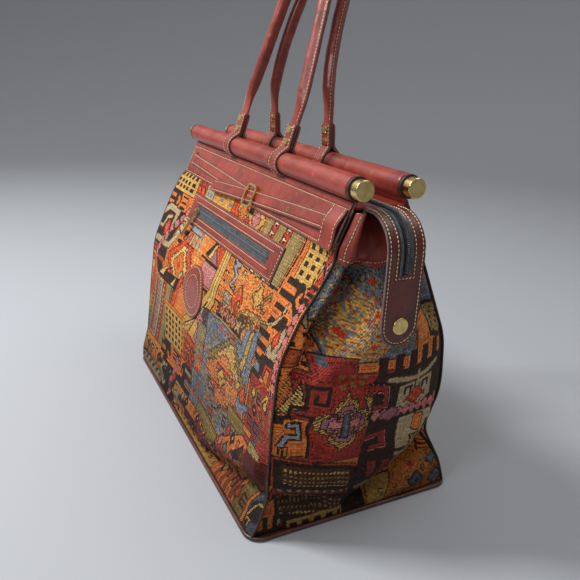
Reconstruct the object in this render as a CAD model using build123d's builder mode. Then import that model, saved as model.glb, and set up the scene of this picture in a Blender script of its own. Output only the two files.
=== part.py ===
from build123d import *
import math
import os

os.makedirs("parts", exist_ok=True)

# A carpet bag: tapestry walls sewn to leather bands, two leather-covered dowels
# along the mouth, rolled handles, a zip that ends in two snapped tongues, a belt
# with a buckle and a zipped pocket on the front.
# +X runs along the bars, -Y is the front, +Z is up. Origin: middle of the base,
# on the surface that the bag stands on. All lengths are in millimetres.

# Bars along the mouth
bar_spacing = 62
bar_axis_height = 395
sleeve_length = 500
sleeve_diameter = 26
sleeve_leather = 2.6
dowel_fit = 0.15
end_ring_length = 3.5
cap_length = 12
cap_wall = 0.6
cap_face = 1.5
cap_fit = 0.1
cap_edge_round = 1.4
web_drop = 11

# Walls
wall_top_height = 376
wall_top_half = 33
shoulder_height = 216
shoulder_half = 105
shoulder_radius = 110
waist_height = 55
waist_half = 121
waist_radius = 60
cloth = 2.5
leather = 2.4
seam_gap = 0.3
belly_reach = 43

# Base
base_length = 518
base_depth = 283
base_corner = 16
base_leather = 3
base_piping_diameter = 5.2
board_thickness = 3
board_margin = 14

# Leather band under the bars
band_drop = 49
band_rise = 4.8
cloth_overlap = 12
seam_piping_diameter = 3
piping_gap = 0.1

# Belt slits, straps and buckle
slit_place = 226
slit_drop = 24
slit_height = 24
slit_width = 5
strap_width = 18
strap_leather = 2.2
strap_tail = 9
strap_tip_reach = 94
strap_tip_drop = 46
eyelet_place = 141
eyelet_radius = 2.6
eyelet_height = 0.8
buckle_place = 34
buckle_drop = 36
buckle_width = 30
buckle_height = 31
buckle_wire = 2.8
buckle_corner = 9
prong_wire = 1.9
prong_hole = 3.4

# Handles
handle_half_span = 79.4
loop_width = 21
loop_leather = 2.2
loop_fit = 0.3
loop_slot_gap = 0.8
loop_corner = 5
neck_base = 18.5
neck_top = 47
tab_leather = 4.4
tab_fit = 0.1
tab_width = 19
tab_end = 16.8
roll_start = 72
roll_radius = 7.8
flange_reach = 12.5
arch_half = 51
arch_height = 238
arch_radius = 47
front_lean = 17
rear_lean = -3
front_bow = 0
rear_bow = 52
bow_start = 75
bow_power = 1.5
arch_steps = 20
guide_lift = 40
roll_bite = 2.5
roll_ease = 0.15
rivet_head_radius = 4.8
rivet_head_height = 1.7
rivet_taper = 20
rivet_shaft_radius = 1.6
rivet_fit = 0.1
rivet_low = 24.6
rivet_high = 39.5

# Zip along the mouth and the tongues at its ends
facing_leather = 2.4
zip_window = 14.5
tongue_width = 44
tongue_leather = 3.4
tongue_room = 8
tongue_shelf = 13
tongue_drop = 134
window_drop = 58
tape_thickness = 1.2
tape_fit = 0.2
coil_width = 5
coil_height = 1.8
snap_drop = 112
snap_radius = 9.2
snap_dome = 2.4
snap_round = 1.4
post_radius = 6

# Sliders and pulls
slider_length = 11
slider_wall = 1.6
slider_fit = 0.3
ear_wall = 1.4
ear_width = 3.2
pin_span = 5.6
pin_radius = 0.9
pin_fit = 0.3
knuckle_wall = 0.8
pull_thickness = 1.6
tag_start = 5
top_slider_park = 45
top_pull_length = 30
top_pull_width = 8
pull_corner = 2.4
pocket_pull_length = 50
pocket_pull_width = 7
pocket_pull_turn = 23

# Pocket on the front wall
pocket_length = 322
pocket_width = 45
pocket_drop = 92
pocket_end_border = 27
pocket_corner = 2
pocket_leather = 2.2
pocket_window_width = 15.5
pocket_slider_park = 13
pocket_mouth_width = 8
pouch_margin = 9
pouch_width = 70
pouch_thickness = 3

# Stitched patch on the front wall
patch_radius = 37
patch_leather = 2
patch_place = -40
patch_height = 196

# One overrun for every cut
overrun = 20

# Places across a side wall, from its front seam to its rear seam
across_shares = (-1, -0.5, 0, 0.5, 1)

# Heights of the gusset's sections, and how far its middle and its quarter points
# stand out of the seam plane, as shares of the wall's height and of the belly.
gusset_shares = [
    (0.010, 0.09, 0.07),
    (0.120, 0.14, 0.12),
    (0.270, 0.52, 0.42),
    (0.430, 0.84, 0.66),
    (0.585, 1.00, 0.74),
    (0.700, 1.00, 0.66),
    (0.790, 0.36, 0.34),
    (0.866, -0.60, -0.10),
]
side_band_shares = [
    (0.867, -0.60, -0.10),
    (0.930, -0.95, -0.30),
    (0.990, -1.12, -0.40),
]

# Sizes that follow from the ones above
sleeve_radius = sleeve_diameter / 2
bore_radius = sleeve_radius - sleeve_leather
dowel_radius = bore_radius - dowel_fit
seam_half = sleeve_length / 2
bar_half = bar_spacing / 2
base_half_length = base_length / 2 - base_piping_diameter
base_half_depth = base_depth / 2 - base_piping_diameter
wall_foot = base_leather + seam_gap
slope_angle = math.atan2(shoulder_half - wall_top_half, wall_top_height - shoulder_height)
slope_run = math.tan(slope_angle)
band_foot_height = wall_top_height - band_drop * math.cos(slope_angle)
cloth_top_height = band_foot_height + cloth_overlap * math.cos(slope_angle)
dowel_half = seam_half + end_ring_length + cap_length - cap_face
loop_inner = sleeve_radius + loop_fit
loop_outer = loop_inner + loop_leather
loop_slot_radius = loop_outer + loop_slot_gap
zip_height = wall_top_height
tongue_reach = seam_half + belly_reach + tongue_room
tongue_bend = belly_reach + tongue_room - tongue_shelf
tongue_end_height = zip_height - tongue_drop
window_end_height = zip_height - window_drop
snap_height = zip_height - snap_drop
top_slider_place = -seam_half + top_slider_park
pocket_window_length = pocket_length - 2 * pocket_end_border
pocket_slider_place = -pocket_window_length / 2 + pocket_slider_park
pouch_length = pocket_window_length + 2 * pouch_margin

front_slope = Plane(
    origin=(0, -wall_top_half, wall_top_height),
    x_dir=(1, 0, 0),
    z_dir=(0, -math.cos(slope_angle), math.sin(slope_angle)),
)


def save(piece, name):
    piece.part.label = name
    export_step(piece.part, f"parts/{name}.step")


def save_mirrored(piece, name, plane):
    with BuildPart() as twin:
        mirror(piece.part, about=plane)
    save(twin, name)


def wall_half(height):
    """Half depth of the bag's outside, straight between the profile's corners."""
    if height > shoulder_height:
        return wall_top_half + (wall_top_height - height) * slope_run
    if height > waist_height:
        share = (shoulder_height - height) / (shoulder_height - waist_height)
        return shoulder_half + share * (waist_half - shoulder_half)
    share = (waist_height - height) / (waist_height - wall_foot)
    return waist_half + share * (base_half_depth - waist_half)


def wall_line(top_height, inset):
    """The wall's profile from its top to its foot, moved inwards by the inset."""
    return FilletPolyline(
        (-wall_half(top_height) + inset, top_height),
        (-shoulder_half + inset, shoulder_height),
        (-waist_half + inset, waist_height),
        (-base_half_depth + inset, wall_foot),
        radius=[shoulder_radius, waist_radius],
    )


def wall_section(top_height, outer_inset, inner_inset):
    """A strip between two copies of the wall's profile."""
    with BuildLine() as strip:
        outer = wall_line(top_height, outer_inset)
        inner = wall_line(top_height, inner_inset)
        Line(outer @ 0, inner @ 0)
        Line(outer @ 1, inner @ 1)
    make_face(strip.edges())


def gusset_section(height_share, middle_share, quarter_share, thickness):
    """One level of the side wall, a strip from the front seam to the rear seam."""
    height = height_share * wall_top_height
    half = wall_half(height)
    offsets = (0, quarter_share, middle_share, quarter_share, 0)
    outer = []
    inner = []
    for place, share in zip(across_shares, offsets):
        reach = seam_half + share * belly_reach
        outer.append((reach, place * half))
        inner.append((reach - thickness, place * half))
    with BuildSketch(Plane.XY.offset(height), mode=Mode.PRIVATE) as level:
        with BuildLine():
            outer_line = Spline(*outer)
            inner_line = Spline(*inner)
            Line(outer_line @ 0, inner_line @ 0)
            Line(outer_line @ 1, inner_line @ 1)
        make_face()
    return level.sketch


# Space between the front and back walls, which bounds the side walls
with BuildPart() as inner_space:
    with BuildSketch(Plane.YZ):
        with BuildLine():
            front = wall_line(wall_top_height, cloth + seam_gap)
            mirror(front, about=Plane.YZ)
            Line(front @ 0, (-(front @ 0).X, (front @ 0).Y))
            Line(front @ 1, (-(front @ 1).X, (front @ 1).Y))
        make_face()
    extrude(amount=seam_half + belly_reach + overrun, both=True)

# Leather piping round the base's edge; the walls' feet are relieved round it
base_piping_radius = base_piping_diameter / 2
rim_offset = base_piping_radius + piping_gap


def rim_tube(radius):
    """A tube along the rim of the base."""
    with BuildSketch(Plane.XY.offset(base_piping_radius)) as rim:
        RectangleRounded(
            2 * (base_half_length + rim_offset),
            2 * (base_half_depth + rim_offset),
            base_corner + rim_offset,
        )
    rim_wire = rim.sketch.faces()[0].outer_wire()
    with BuildPart() as tube:
        with BuildSketch(Plane(rim_wire @ 0, z_dir=rim_wire % 0)):
            Circle(radius)
        sweep(path=rim_wire)
    return tube


base_piping = rim_tube(base_piping_radius)
save(base_piping, "base_piping")
piping_relief = rim_tube(base_piping_radius + seam_gap)

# Tapestry walls
with BuildPart() as front_panel:
    with BuildSketch(Plane.YZ):
        wall_section(cloth_top_height, 0, cloth)
    extrude(amount=seam_half, both=True)
    add(piping_relief.part, mode=Mode.SUBTRACT)
save_mirrored(front_panel, "back_panel", Plane.XZ)

with BuildPart() as pocket_panel:
    add(front_panel.part)
    with BuildSketch(front_slope):
        with Locations((0, -pocket_drop)):
            Rectangle(pocket_window_length - 2 * pocket_mouth_width, pocket_mouth_width)
    extrude(amount=cloth + overrun, both=True, mode=Mode.SUBTRACT)
save(pocket_panel, "front_panel")

with BuildPart() as right_gusset:
    loft([gusset_section(*shares, cloth) for shares in gusset_shares])
    add(inner_space.part, mode=Mode.INTERSECT)
    add(piping_relief.part, mode=Mode.SUBTRACT)
save(right_gusset, "right_gusset")
save_mirrored(right_gusset, "left_gusset", Plane.YZ)

with BuildPart() as right_side_band:
    loft([gusset_section(*shares, leather) for shares in side_band_shares])
    add(inner_space.part, mode=Mode.INTERSECT)
save(right_side_band, "right_side_band")
save_mirrored(right_side_band, "left_side_band", Plane.YZ)

# Base
with BuildPart() as base_panel:
    with BuildSketch():
        RectangleRounded(2 * base_half_length, 2 * base_half_depth, base_corner)
    extrude(amount=base_leather)
save(base_panel, "base_panel")

with BuildPart() as base_board:
    with BuildSketch(Plane.XY.offset(wall_foot)):
        RectangleRounded(
            2 * (seam_half - board_margin), 2 * (base_half_depth - board_margin), base_corner
        )
    extrude(amount=board_thickness)
save(base_board, "base_board")

# Dark piping up the four corner seams
seam_piping_radius = seam_piping_diameter / 2
corner_offset = (seam_piping_radius + piping_gap) * math.sqrt(0.5)
with BuildPart() as seam_piping:
    with BuildLine(Plane.YZ.offset(seam_half + corner_offset)) as seam_path:
        wall_line(wall_top_height, -corner_offset)
    with BuildSketch(Plane(seam_path.wires()[0] @ 0, z_dir=seam_path.wires()[0] % 0)):
        Circle(seam_piping_radius)
    sweep(path=seam_path.wires()[0])
    with BuildSketch(Plane.XY):
        Rectangle(base_length * 2, base_depth * 2)
    extrude(amount=base_piping_diameter + seam_gap, mode=Mode.SUBTRACT)
save(seam_piping, "front_right_piping")
save_mirrored(seam_piping, "front_left_piping", Plane.YZ)
save_mirrored(seam_piping, "rear_right_piping", Plane.XZ)
with BuildPart() as rear_left_piping:
    mirror(mirror(seam_piping.part, about=Plane.XZ, mode=Mode.PRIVATE), about=Plane.YZ)
save(rear_left_piping, "rear_left_piping")

# Bars: leather sleeve with its sewn web, dowel, end rings and caps
front_bar_start = Plane(
    origin=(-seam_half, -bar_half, bar_axis_height), x_dir=(0, 1, 0), z_dir=(1, 0, 0)
)


def cut_loop_slots():
    """Slots beside the bar where the handle loops pass round it."""
    slot_width = loop_width + 2 * loop_slot_gap
    for place in (-handle_half_span, handle_half_span):
        start = front_bar_start.offset(seam_half + place - slot_width / 2)
        with BuildSketch(start, mode=Mode.PRIVATE) as slot:
            Circle(loop_slot_radius)
            Circle(sleeve_radius, mode=Mode.SUBTRACT)
        extrude(slot.sketch, amount=slot_width, mode=Mode.SUBTRACT)


web_plane = front_slope.offset(-leather)
with BuildPart() as front_sleeve:
    with BuildSketch(web_plane):
        with Locations((0, -web_drop)):
            Rectangle(
                sleeve_length, web_drop + sleeve_radius, align=(Align.CENTER, Align.MIN)
            )
    extrude(amount=leather - seam_gap / 2)
    with BuildSketch(front_bar_start):
        Circle(sleeve_radius)
    extrude(amount=sleeve_length)
    with BuildSketch(front_bar_start.offset(-overrun)):
        Circle(bore_radius)
    extrude(amount=sleeve_length + 2 * overrun, mode=Mode.SUBTRACT)
    cut_loop_slots()
save(front_sleeve, "front_sleeve")
save_mirrored(front_sleeve, "rear_sleeve", Plane.XZ)

with BuildPart() as front_dowel:
    with BuildSketch(front_bar_start.offset(seam_half - dowel_half)):
        Circle(dowel_radius)
    extrude(amount=2 * dowel_half)
save(front_dowel, "front_dowel")
save_mirrored(front_dowel, "rear_dowel", Plane.XZ)

with BuildPart() as bar_end_rings:
    for side in (-1, 1):
        ring_middle = seam_half + end_ring_length / 2
        for bar_place in (-bar_half, bar_half):
            ring_plane = Plane(
                origin=(side * ring_middle, bar_place, bar_axis_height), z_dir=(1, 0, 0)
            )
            with BuildSketch(ring_plane):
                Circle(sleeve_radius - seam_gap)
                Circle(dowel_radius + cap_fit, mode=Mode.SUBTRACT)
            extrude(amount=(end_ring_length - seam_gap) / 2, both=True)
save(bar_end_rings, "bar_end_rings")

cap_radius = dowel_radius + cap_fit + cap_wall
cap_start = seam_half + end_ring_length
with BuildPart() as front_right_cap:
    with BuildSketch(front_bar_start.offset(seam_half + cap_start)):
        Circle(cap_radius)
    extrude(amount=cap_length)
    fillet(front_right_cap.faces().sort_by(Axis.X)[-1].edges(), cap_edge_round)
    with BuildSketch(front_bar_start.offset(seam_half + cap_start)):
        Circle(cap_radius - cap_wall)
    extrude(amount=cap_length - cap_face + cap_fit, mode=Mode.SUBTRACT)
save(front_right_cap, "front_right_cap")
save_mirrored(front_right_cap, "front_left_cap", Plane.YZ)
save_mirrored(front_right_cap, "rear_right_cap", Plane.XZ)
with BuildPart() as rear_left_cap:
    mirror(mirror(front_right_cap.part, about=Plane.XZ, mode=Mode.PRIVATE), about=Plane.YZ)
save(rear_left_cap, "rear_left_cap")

# Leather bands, sewn to the webs and over the tapestry
band_half = seam_half - seam_piping_radius
with BuildPart() as back_band_blank:
    with BuildSketch(front_slope.offset(seam_gap / 2)):
        with Locations((0, -band_drop)):
            Rectangle(2 * band_half, band_drop + band_rise, align=(Align.CENTER, Align.MIN))
    extrude(amount=leather)
    cut_loop_slots()
save_mirrored(back_band_blank, "back_band", Plane.XZ)

with BuildPart() as front_band:
    add(back_band_blank.part)
    with BuildSketch(front_slope):
        with Locations((-slit_place, -slit_drop), (slit_place, -slit_drop)):
            Rectangle(slit_width, slit_height)
    extrude(amount=overrun, both=True, mode=Mode.SUBTRACT)
save(front_band, "front_band")

# Belt: two straps that come out of the slits and meet in the buckle
band_face = seam_gap / 2 + leather
lower_strap = front_slope.offset(band_face + seam_gap)
upper_strap = lower_strap.offset(strap_leather + seam_gap)


def strap_outline(start, middle, end, tip_round):
    """A strap's flat outline along a gentle curve, with a rounded end."""
    with BuildLine() as centre_line:
        Spline(start, middle, end)
    centre = centre_line.wires()[0]
    trace(centre.edges(), strap_width)
    if tip_round:
        with Locations(centre @ 1):
            Circle(strap_width / 2)


def strap_tail_block(plane, place):
    """The strap's end, turned through the slit to the inside of the band."""
    with BuildSketch(plane.offset(strap_leather), mode=Mode.PRIVATE) as tail:
        with Locations((place, -slit_drop)):
            Rectangle(strap_leather, strap_width)
    extrude(tail.sketch, amount=-strap_tail)


with BuildPart() as buckle_strap:
    with BuildSketch(lower_strap):
        strap_outline(
            (-slit_place, -slit_drop),
            ((buckle_place - slit_place) / 2, -(slit_drop + buckle_drop) / 2),
            (buckle_place - buckle_wire, -buckle_drop),
            False,
        )
    extrude(amount=strap_leather)
    strap_tail_block(lower_strap, -slit_place)
save(buckle_strap, "buckle_strap")

prong_start = buckle_place + buckle_wire
with BuildPart() as tongue_strap:
    with BuildSketch(upper_strap):
        strap_outline(
            (slit_place, -slit_drop),
            (buckle_place, -buckle_drop),
            (-strap_tip_reach, -strap_tip_drop),
            True,
        )
        with Locations((prong_start, -buckle_drop)):
            Circle(prong_hole / 2, mode=Mode.SUBTRACT)
        with Locations((eyelet_place, -(slit_drop + buckle_drop) / 2)):
            Circle(eyelet_radius / 2, mode=Mode.SUBTRACT)
    extrude(amount=strap_leather)
    strap_tail_block(upper_strap, slit_place)
save(tongue_strap, "tongue_strap")

with BuildPart() as strap_eyelet:
    with BuildSketch(upper_strap.offset(strap_leather)):
        with Locations((eyelet_place, -(slit_drop + buckle_drop) / 2)):
            Circle(eyelet_radius)
            Circle(eyelet_radius / 2, mode=Mode.SUBTRACT)
    extrude(amount=eyelet_height)
save(strap_eyelet, "strap_eyelet")

frame_plane = upper_strap.offset(strap_leather + seam_gap)
bar_floor = seam_gap + strap_leather + seam_gap + strap_leather
buckle_inner_height = buckle_height - 2 * buckle_wire
with BuildPart() as buckle_frame:
    with BuildSketch(frame_plane):
        with Locations((buckle_place, -buckle_drop)):
            RectangleRounded(buckle_width, buckle_height, buckle_corner)
            RectangleRounded(
                buckle_width - 2 * buckle_wire,
                buckle_inner_height,
                buckle_corner - buckle_wire,
                mode=Mode.SUBTRACT,
            )
    extrude(amount=buckle_wire)
    for side in (-1, 1):
        post_place = -buckle_drop + side * (buckle_height - buckle_wire) / 2
        with BuildSketch(frame_plane):
            with Locations((buckle_place, post_place)):
                Rectangle(prong_wire, buckle_wire)
        extrude(amount=-bar_floor)
    with BuildSketch(frame_plane.offset(-bar_floor)):
        with Locations((buckle_place, -buckle_drop)):
            Rectangle(prong_wire, buckle_height)
    extrude(amount=prong_wire)
save(buckle_frame, "buckle_frame")

with BuildPart() as buckle_prong:
    prong_foot = frame_plane.offset(-bar_floor)
    prong_rise = bar_floor + buckle_wire + seam_gap
    with BuildSketch(prong_foot):
        with Locations((prong_start, -buckle_drop)):
            Circle(prong_wire / 2)
    extrude(amount=prong_rise)
    prong_reach = (buckle_width + prong_wire) / 2 - buckle_wire / 2
    with BuildSketch(prong_foot.offset(prong_rise)):
        with Locations((prong_start - prong_wire / 2, -buckle_drop)):
            Rectangle(prong_reach, prong_wire, align=(Align.MIN, Align.CENTER))
    extrude(amount=prong_wire)
save(buckle_prong, "buckle_prong")

# Handles, each with two loops, and rivets through the loops' necks


def loop_section(lean, bar_place, start):
    """Plane across the bar, with its second axis up the leaning handle."""
    angle = math.radians(lean)
    return Plane(
        origin=(start, bar_place, bar_axis_height),
        x_dir=(0, math.cos(angle), -math.sin(angle)),
        z_dir=(1, 0, 0),
    )


def handle_face(lean, bar_place):
    """Plane of the handle's arch, with its second axis up the arch."""
    angle = math.radians(lean)
    return Plane(
        origin=(0, bar_place, bar_axis_height),
        x_dir=(1, 0, 0),
        z_dir=(0, -math.cos(angle), math.sin(angle)),
    )


ply_inner = tab_leather / 2 + tab_fit
ply_outer = ply_inner + loop_leather


def rivet_places(place):
    return [(place, rivet_low), (place, rivet_high)]


def make_loop(name, lean, bar_place, place):
    section = loop_section(lean, bar_place, place - loop_width / 2)
    with BuildPart() as loop:
        with BuildSketch(section):
            with BuildSketch(mode=Mode.PRIVATE) as outer_shape:
                Circle(loop_outer)
                with Locations((0, neck_base)):
                    Rectangle(2 * ply_outer, loop_leather)
            make_hull(outer_shape.edges())
            with BuildSketch(mode=Mode.PRIVATE) as inner_shape:
                Circle(loop_inner)
                with Locations((0, neck_base - 2 * loop_leather)):
                    Rectangle(2 * ply_inner, loop_leather)
            make_hull(inner_shape.edges(), mode=Mode.SUBTRACT)
            with Locations((0, neck_base)):
                Rectangle(2 * ply_outer, neck_top - neck_base, align=(Align.CENTER, Align.MIN))
            with Locations((0, loop_inner)):
                Rectangle(2 * ply_inner, neck_top, align=(Align.CENTER, Align.MIN),
                          mode=Mode.SUBTRACT)
        extrude(amount=loop_width)
        face = handle_face(lean, bar_place)
        with BuildSketch(face):
            with Locations(rivet_places(place)):
                Circle(rivet_shaft_radius + rivet_fit)
        extrude(amount=overrun, both=True, mode=Mode.SUBTRACT)
        through_edges = loop.edges().filter_by(Axis(face.origin, face.z_dir))
        fillet(through_edges.sort_by(Axis.Z)[-4:], loop_corner)
    save(loop, name)


def arch_path(face, bow):
    """Middle line of the handle's roll, pushed back out of the arch's plane where it bows."""
    with BuildLine(face) as flat:
        FilletPolyline(
            (handle_half_span, roll_start),
            (arch_half, arch_height),
            (-arch_half, arch_height),
            (-handle_half_span, roll_start),
            radius=arch_radius,
        )
    flat_wire = flat.wires()[0]
    if bow == 0:
        return flat_wire
    points = []
    for step in range(arch_steps + 1):
        point = face.to_local_coords(flat_wire @ (step / arch_steps))
        rise = max(0, point.Y - bow_start) / (arch_height - bow_start)
        points.append(face.from_local_coords((point.X, point.Y, -bow * rise**bow_power)))
    with BuildLine() as bowed:
        Spline(*points)
    return bowed.wires()[0]


def make_handle(name, lean, bar_place, bow):
    face = handle_face(lean, bar_place)
    arch_wire = arch_path(face, bow)
    with BuildPart() as handle:
        across = face.z_dir
        right_end = Plane(arch_wire @ 0, x_dir=across, z_dir=arch_wire % 0)
        left_end = Plane(arch_wire @ 1, x_dir=across, z_dir=(arch_wire % 1) * -1)
        with BuildSketch(right_end):
            Circle(roll_radius)
            with Locations((0, flange_reach / 2)):
                Rectangle(tab_leather, flange_reach)
        sweep(path=arch_wire, binormal=arch_path(face.offset(guide_lift), bow))
        for place, roll_end in ((handle_half_span, right_end), (-handle_half_span, left_end)):
            with BuildSketch(face):
                with Locations((place, tab_end)):
                    Rectangle(tab_width, neck_top - tab_end, align=(Align.CENTER, Align.MIN))
            extrude(amount=tab_leather / 2, both=True)
            tab_top = face.from_local_coords((place, neck_top, 0))
            with BuildSketch(Plane(tab_top, x_dir=across, z_dir=face.y_dir)):
                Ellipse(tab_leather / 2, tab_width / 2)
            with BuildSketch(roll_end.offset(roll_bite)):
                Circle(roll_radius - roll_ease)
            loft()
        with BuildSketch(face):
            for side in (-1, 1):
                with Locations(rivet_places(side * handle_half_span)):
                    Circle(rivet_shaft_radius + rivet_fit)
        extrude(amount=overrun, both=True, mode=Mode.SUBTRACT)
    save(handle, name)


def make_rivets(name, lean, bar_place):
    face = handle_face(lean, bar_place)
    head_seat = ply_outer + tab_fit
    with BuildPart() as rivets:
        for side in (-1, 1):
            places = rivet_places(side * handle_half_span)
            with BuildSketch(face):
                with Locations(places):
                    Circle(rivet_shaft_radius)
            extrude(amount=head_seat, both=True)
            for turn in (-1, 1):
                with BuildSketch(face.offset(turn * head_seat)):
                    with Locations(places):
                        Circle(rivet_head_radius)
                extrude(amount=turn * rivet_head_height, taper=rivet_taper)
    save(rivets, name)


for bar_name, bar_place, lean, bow in (
    ("front", -bar_half, front_lean, front_bow),
    ("rear", bar_half, rear_lean, rear_bow),
):
    make_loop(f"{bar_name}_left_loop", lean, bar_place, -handle_half_span)
    make_loop(f"{bar_name}_right_loop", lean, bar_place, handle_half_span)
    make_handle(f"{bar_name}_handle", lean, bar_place, bow)
    make_rivets(f"{bar_name}_handle_rivets", lean, bar_place)

# Zip along the mouth: facings between the webs, tongues past the ends
facing_outer = wall_top_half - leather / math.cos(slope_angle) - seam_gap
with BuildPart() as front_zip_facing:
    with BuildSketch(Plane.XY.offset(zip_height)):
        with Locations((0, -facing_outer)):
            Rectangle(sleeve_length, facing_outer - zip_window / 2, align=(Align.CENTER, Align.MIN))
    extrude(amount=-facing_leather)
save(front_zip_facing, "front_zip_facing")
save_mirrored(front_zip_facing, "rear_zip_facing", Plane.XZ)


def bent_strip(inner_depth, outer_depth, start, end_height):
    """Section of a strip that runs out of the mouth and bends down, in the XZ plane."""
    with BuildLine() as strip:
        lines = []
        for depth in (outer_depth, inner_depth):
            lines.append(FilletPolyline(
                (start, zip_height - depth),
                (tongue_reach - depth, zip_height - depth),
                (tongue_reach - depth, end_height),
                radius=tongue_bend - depth,
            ))
        Line(lines[0] @ 0, lines[1] @ 0)
        Line(lines[0] @ 1, lines[1] @ 1)
    make_face(strip.edges())


tongue_half = tongue_width / 2
with BuildPart() as right_tongue:
    with BuildSketch(Plane.XZ):
        bent_strip(tongue_leather, 0, seam_half + seam_gap, tongue_end_height)
    extrude(amount=tongue_half, both=True)
    with BuildSketch(Plane.YZ):
        with Locations((0, tongue_end_height + tongue_half)):
            Circle(tongue_half)
            Rectangle(tongue_width, zip_height, align=(Align.CENTER, Align.MIN))
    extrude(amount=tongue_reach + overrun, mode=Mode.INTERSECT)
    with BuildSketch(Plane.YZ):
        with Locations((0, window_end_height)):
            Rectangle(zip_window, zip_height, align=(Align.CENTER, Align.MIN))
    extrude(amount=tongue_reach + overrun, mode=Mode.SUBTRACT)
save(right_tongue, "right_tongue")
save_mirrored(right_tongue, "left_tongue", Plane.YZ)

tape_end_height = window_end_height + tape_fit
tape_depth = tongue_leather / 2
with BuildPart() as top_zip_tape:
    with BuildSketch(Plane.XZ):
        bent_strip(tape_depth + tape_thickness, tape_depth, 0, tape_end_height)
    extrude(amount=zip_window / 2 - tape_fit, both=True)
    mirror(about=Plane.YZ)
save(top_zip_tape, "top_zip_tape")

with BuildPart() as top_zip_coil:
    with BuildSketch(Plane.XZ):
        bent_strip(tape_depth, tape_depth - coil_height, 0, tape_end_height)
    extrude(amount=coil_width / 2, both=True)
    mirror(about=Plane.YZ)
save(top_zip_coil, "top_zip_coil")

with BuildPart() as right_snap_cap:
    with BuildSketch(Plane.YZ.offset(tongue_reach + tape_fit / 2)):
        with Locations((0, snap_height)):
            Circle(snap_radius)
    extrude(amount=snap_dome)
    fillet(right_snap_cap.faces().sort_by(Axis.X)[-1].edges(), snap_round)
save(right_snap_cap, "right_snap_cap")
save_mirrored(right_snap_cap, "left_snap_cap", Plane.YZ)

post_start = right_gusset.part.bounding_box().max.X + seam_gap
with BuildPart() as right_snap_post:
    with BuildSketch(Plane.YZ.offset(post_start)):
        with Locations((0, snap_height)):
            Circle(post_radius)
    extrude(amount=tongue_reach - tongue_leather - seam_gap - post_start)
save(right_snap_post, "right_snap_post")
save_mirrored(right_snap_post, "left_snap_post", Plane.YZ)

# Sliders straddle the coil; a pull turns on the pin between each slider's ears
slider_width = coil_width + 2 * slider_fit + 2 * slider_wall
shell_top = coil_height + slider_fit + slider_wall
knuckle_inner = pin_radius + pin_fit
knuckle_outer = knuckle_inner + knuckle_wall
pin_height = shell_top + slider_fit + knuckle_outer


def make_slider(name, seat, pin_frame):
    """Slider on the tape's face, with the coil along the first axis of its seat."""
    with BuildPart() as slider:
        with BuildSketch(seat.offset(slider_fit)):
            RectangleRounded(slider_length, slider_width, slider_wall)
        extrude(amount=shell_top - slider_fit)
        with BuildSketch(seat):
            Rectangle(slider_length + overrun, coil_width + 2 * slider_fit)
        extrude(amount=coil_height + slider_fit, mode=Mode.SUBTRACT)
        ear_start = pin_height - shell_top
        for side in (-1, 1):
            ear_inner = Plane(
                origin=pin_frame.from_local_coords((side * pin_span / 2, 0, 0)),
                x_dir=pin_frame.y_dir,
                z_dir=pin_frame.x_dir * side,
            )
            with BuildSketch(ear_inner):
                Circle(ear_width / 2)
                with Locations((0, -side * ear_start / 2)):
                    Rectangle(ear_width, ear_start)
            extrude(amount=ear_wall)
        pin_start = Plane(
            origin=pin_frame.from_local_coords((-pin_span / 2, 0, 0)),
            x_dir=pin_frame.y_dir,
            z_dir=pin_frame.x_dir,
        )
        with BuildSketch(pin_start):
            Circle(pin_radius)
        extrude(amount=pin_span)
    save(slider, name)


def make_pull(name, pin_frame, length, width, turn):
    """Pull with a rolled knuckle on the pin; its tag hangs along minus the second axis."""
    knuckle_length = pin_span - 2 * slider_fit
    with BuildPart() as pull:
        with BuildSketch(pin_frame.offset(-pull_thickness / 2)):
            with Locations((0, -tag_start / 2)):
                Rectangle(knuckle_length, tag_start)
            with Locations(Location((0, -tag_start, 0), (0, 0, turn))):
                with Locations((0, -(length - tag_start) / 2)):
                    RectangleRounded(width, length - tag_start, pull_corner)
        extrude(amount=pull_thickness)
        knuckle_start = Plane(
            origin=pin_frame.from_local_coords((-knuckle_length / 2, 0, 0)),
            x_dir=pin_frame.y_dir,
            z_dir=pin_frame.x_dir,
        )
        with BuildSketch(knuckle_start):
            Circle(knuckle_outer)
        extrude(amount=knuckle_length)
        with BuildSketch(knuckle_start.offset(-overrun)):
            Circle(knuckle_inner)
        extrude(amount=2 * overrun, mode=Mode.SUBTRACT)
    save(pull, name)


top_tape_height = zip_height - tape_depth
top_seat = Plane(origin=(top_slider_place, 0, top_tape_height), x_dir=(1, 0, 0), z_dir=(0, 0, 1))
top_pin = Plane(
    origin=(top_slider_place, 0, top_tape_height + pin_height), x_dir=(0, -1, 0), z_dir=(0, 0, 1)
)
make_slider("top_slider", top_seat, top_pin)
make_pull("top_pull", top_pin, top_pull_length, top_pull_width, 0)

pocket_tape_face = seam_gap + tape_thickness
pocket_seat = front_slope.offset(pocket_tape_face).shift_origin(
    front_slope.offset(pocket_tape_face).from_local_coords((pocket_slider_place, -pocket_drop, 0))
)
pocket_pin = pocket_seat.offset(pin_height)
make_slider("pocket_slider", pocket_seat, pocket_pin)
make_pull("pocket_pull", pocket_pin, pocket_pull_length, pocket_pull_width, -pocket_pull_turn)

# Pocket: leather frame round its zip, and the pouch behind it
with BuildPart() as pocket_frame:
    with BuildSketch(front_slope.offset(seam_gap)):
        with Locations((0, -pocket_drop)):
            RectangleRounded(pocket_length, pocket_width, pocket_corner)
            RectangleRounded(
                pocket_window_length, pocket_window_width, pocket_corner, mode=Mode.SUBTRACT
            )
    extrude(amount=pocket_leather)
save(pocket_frame, "pocket_frame")

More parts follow.
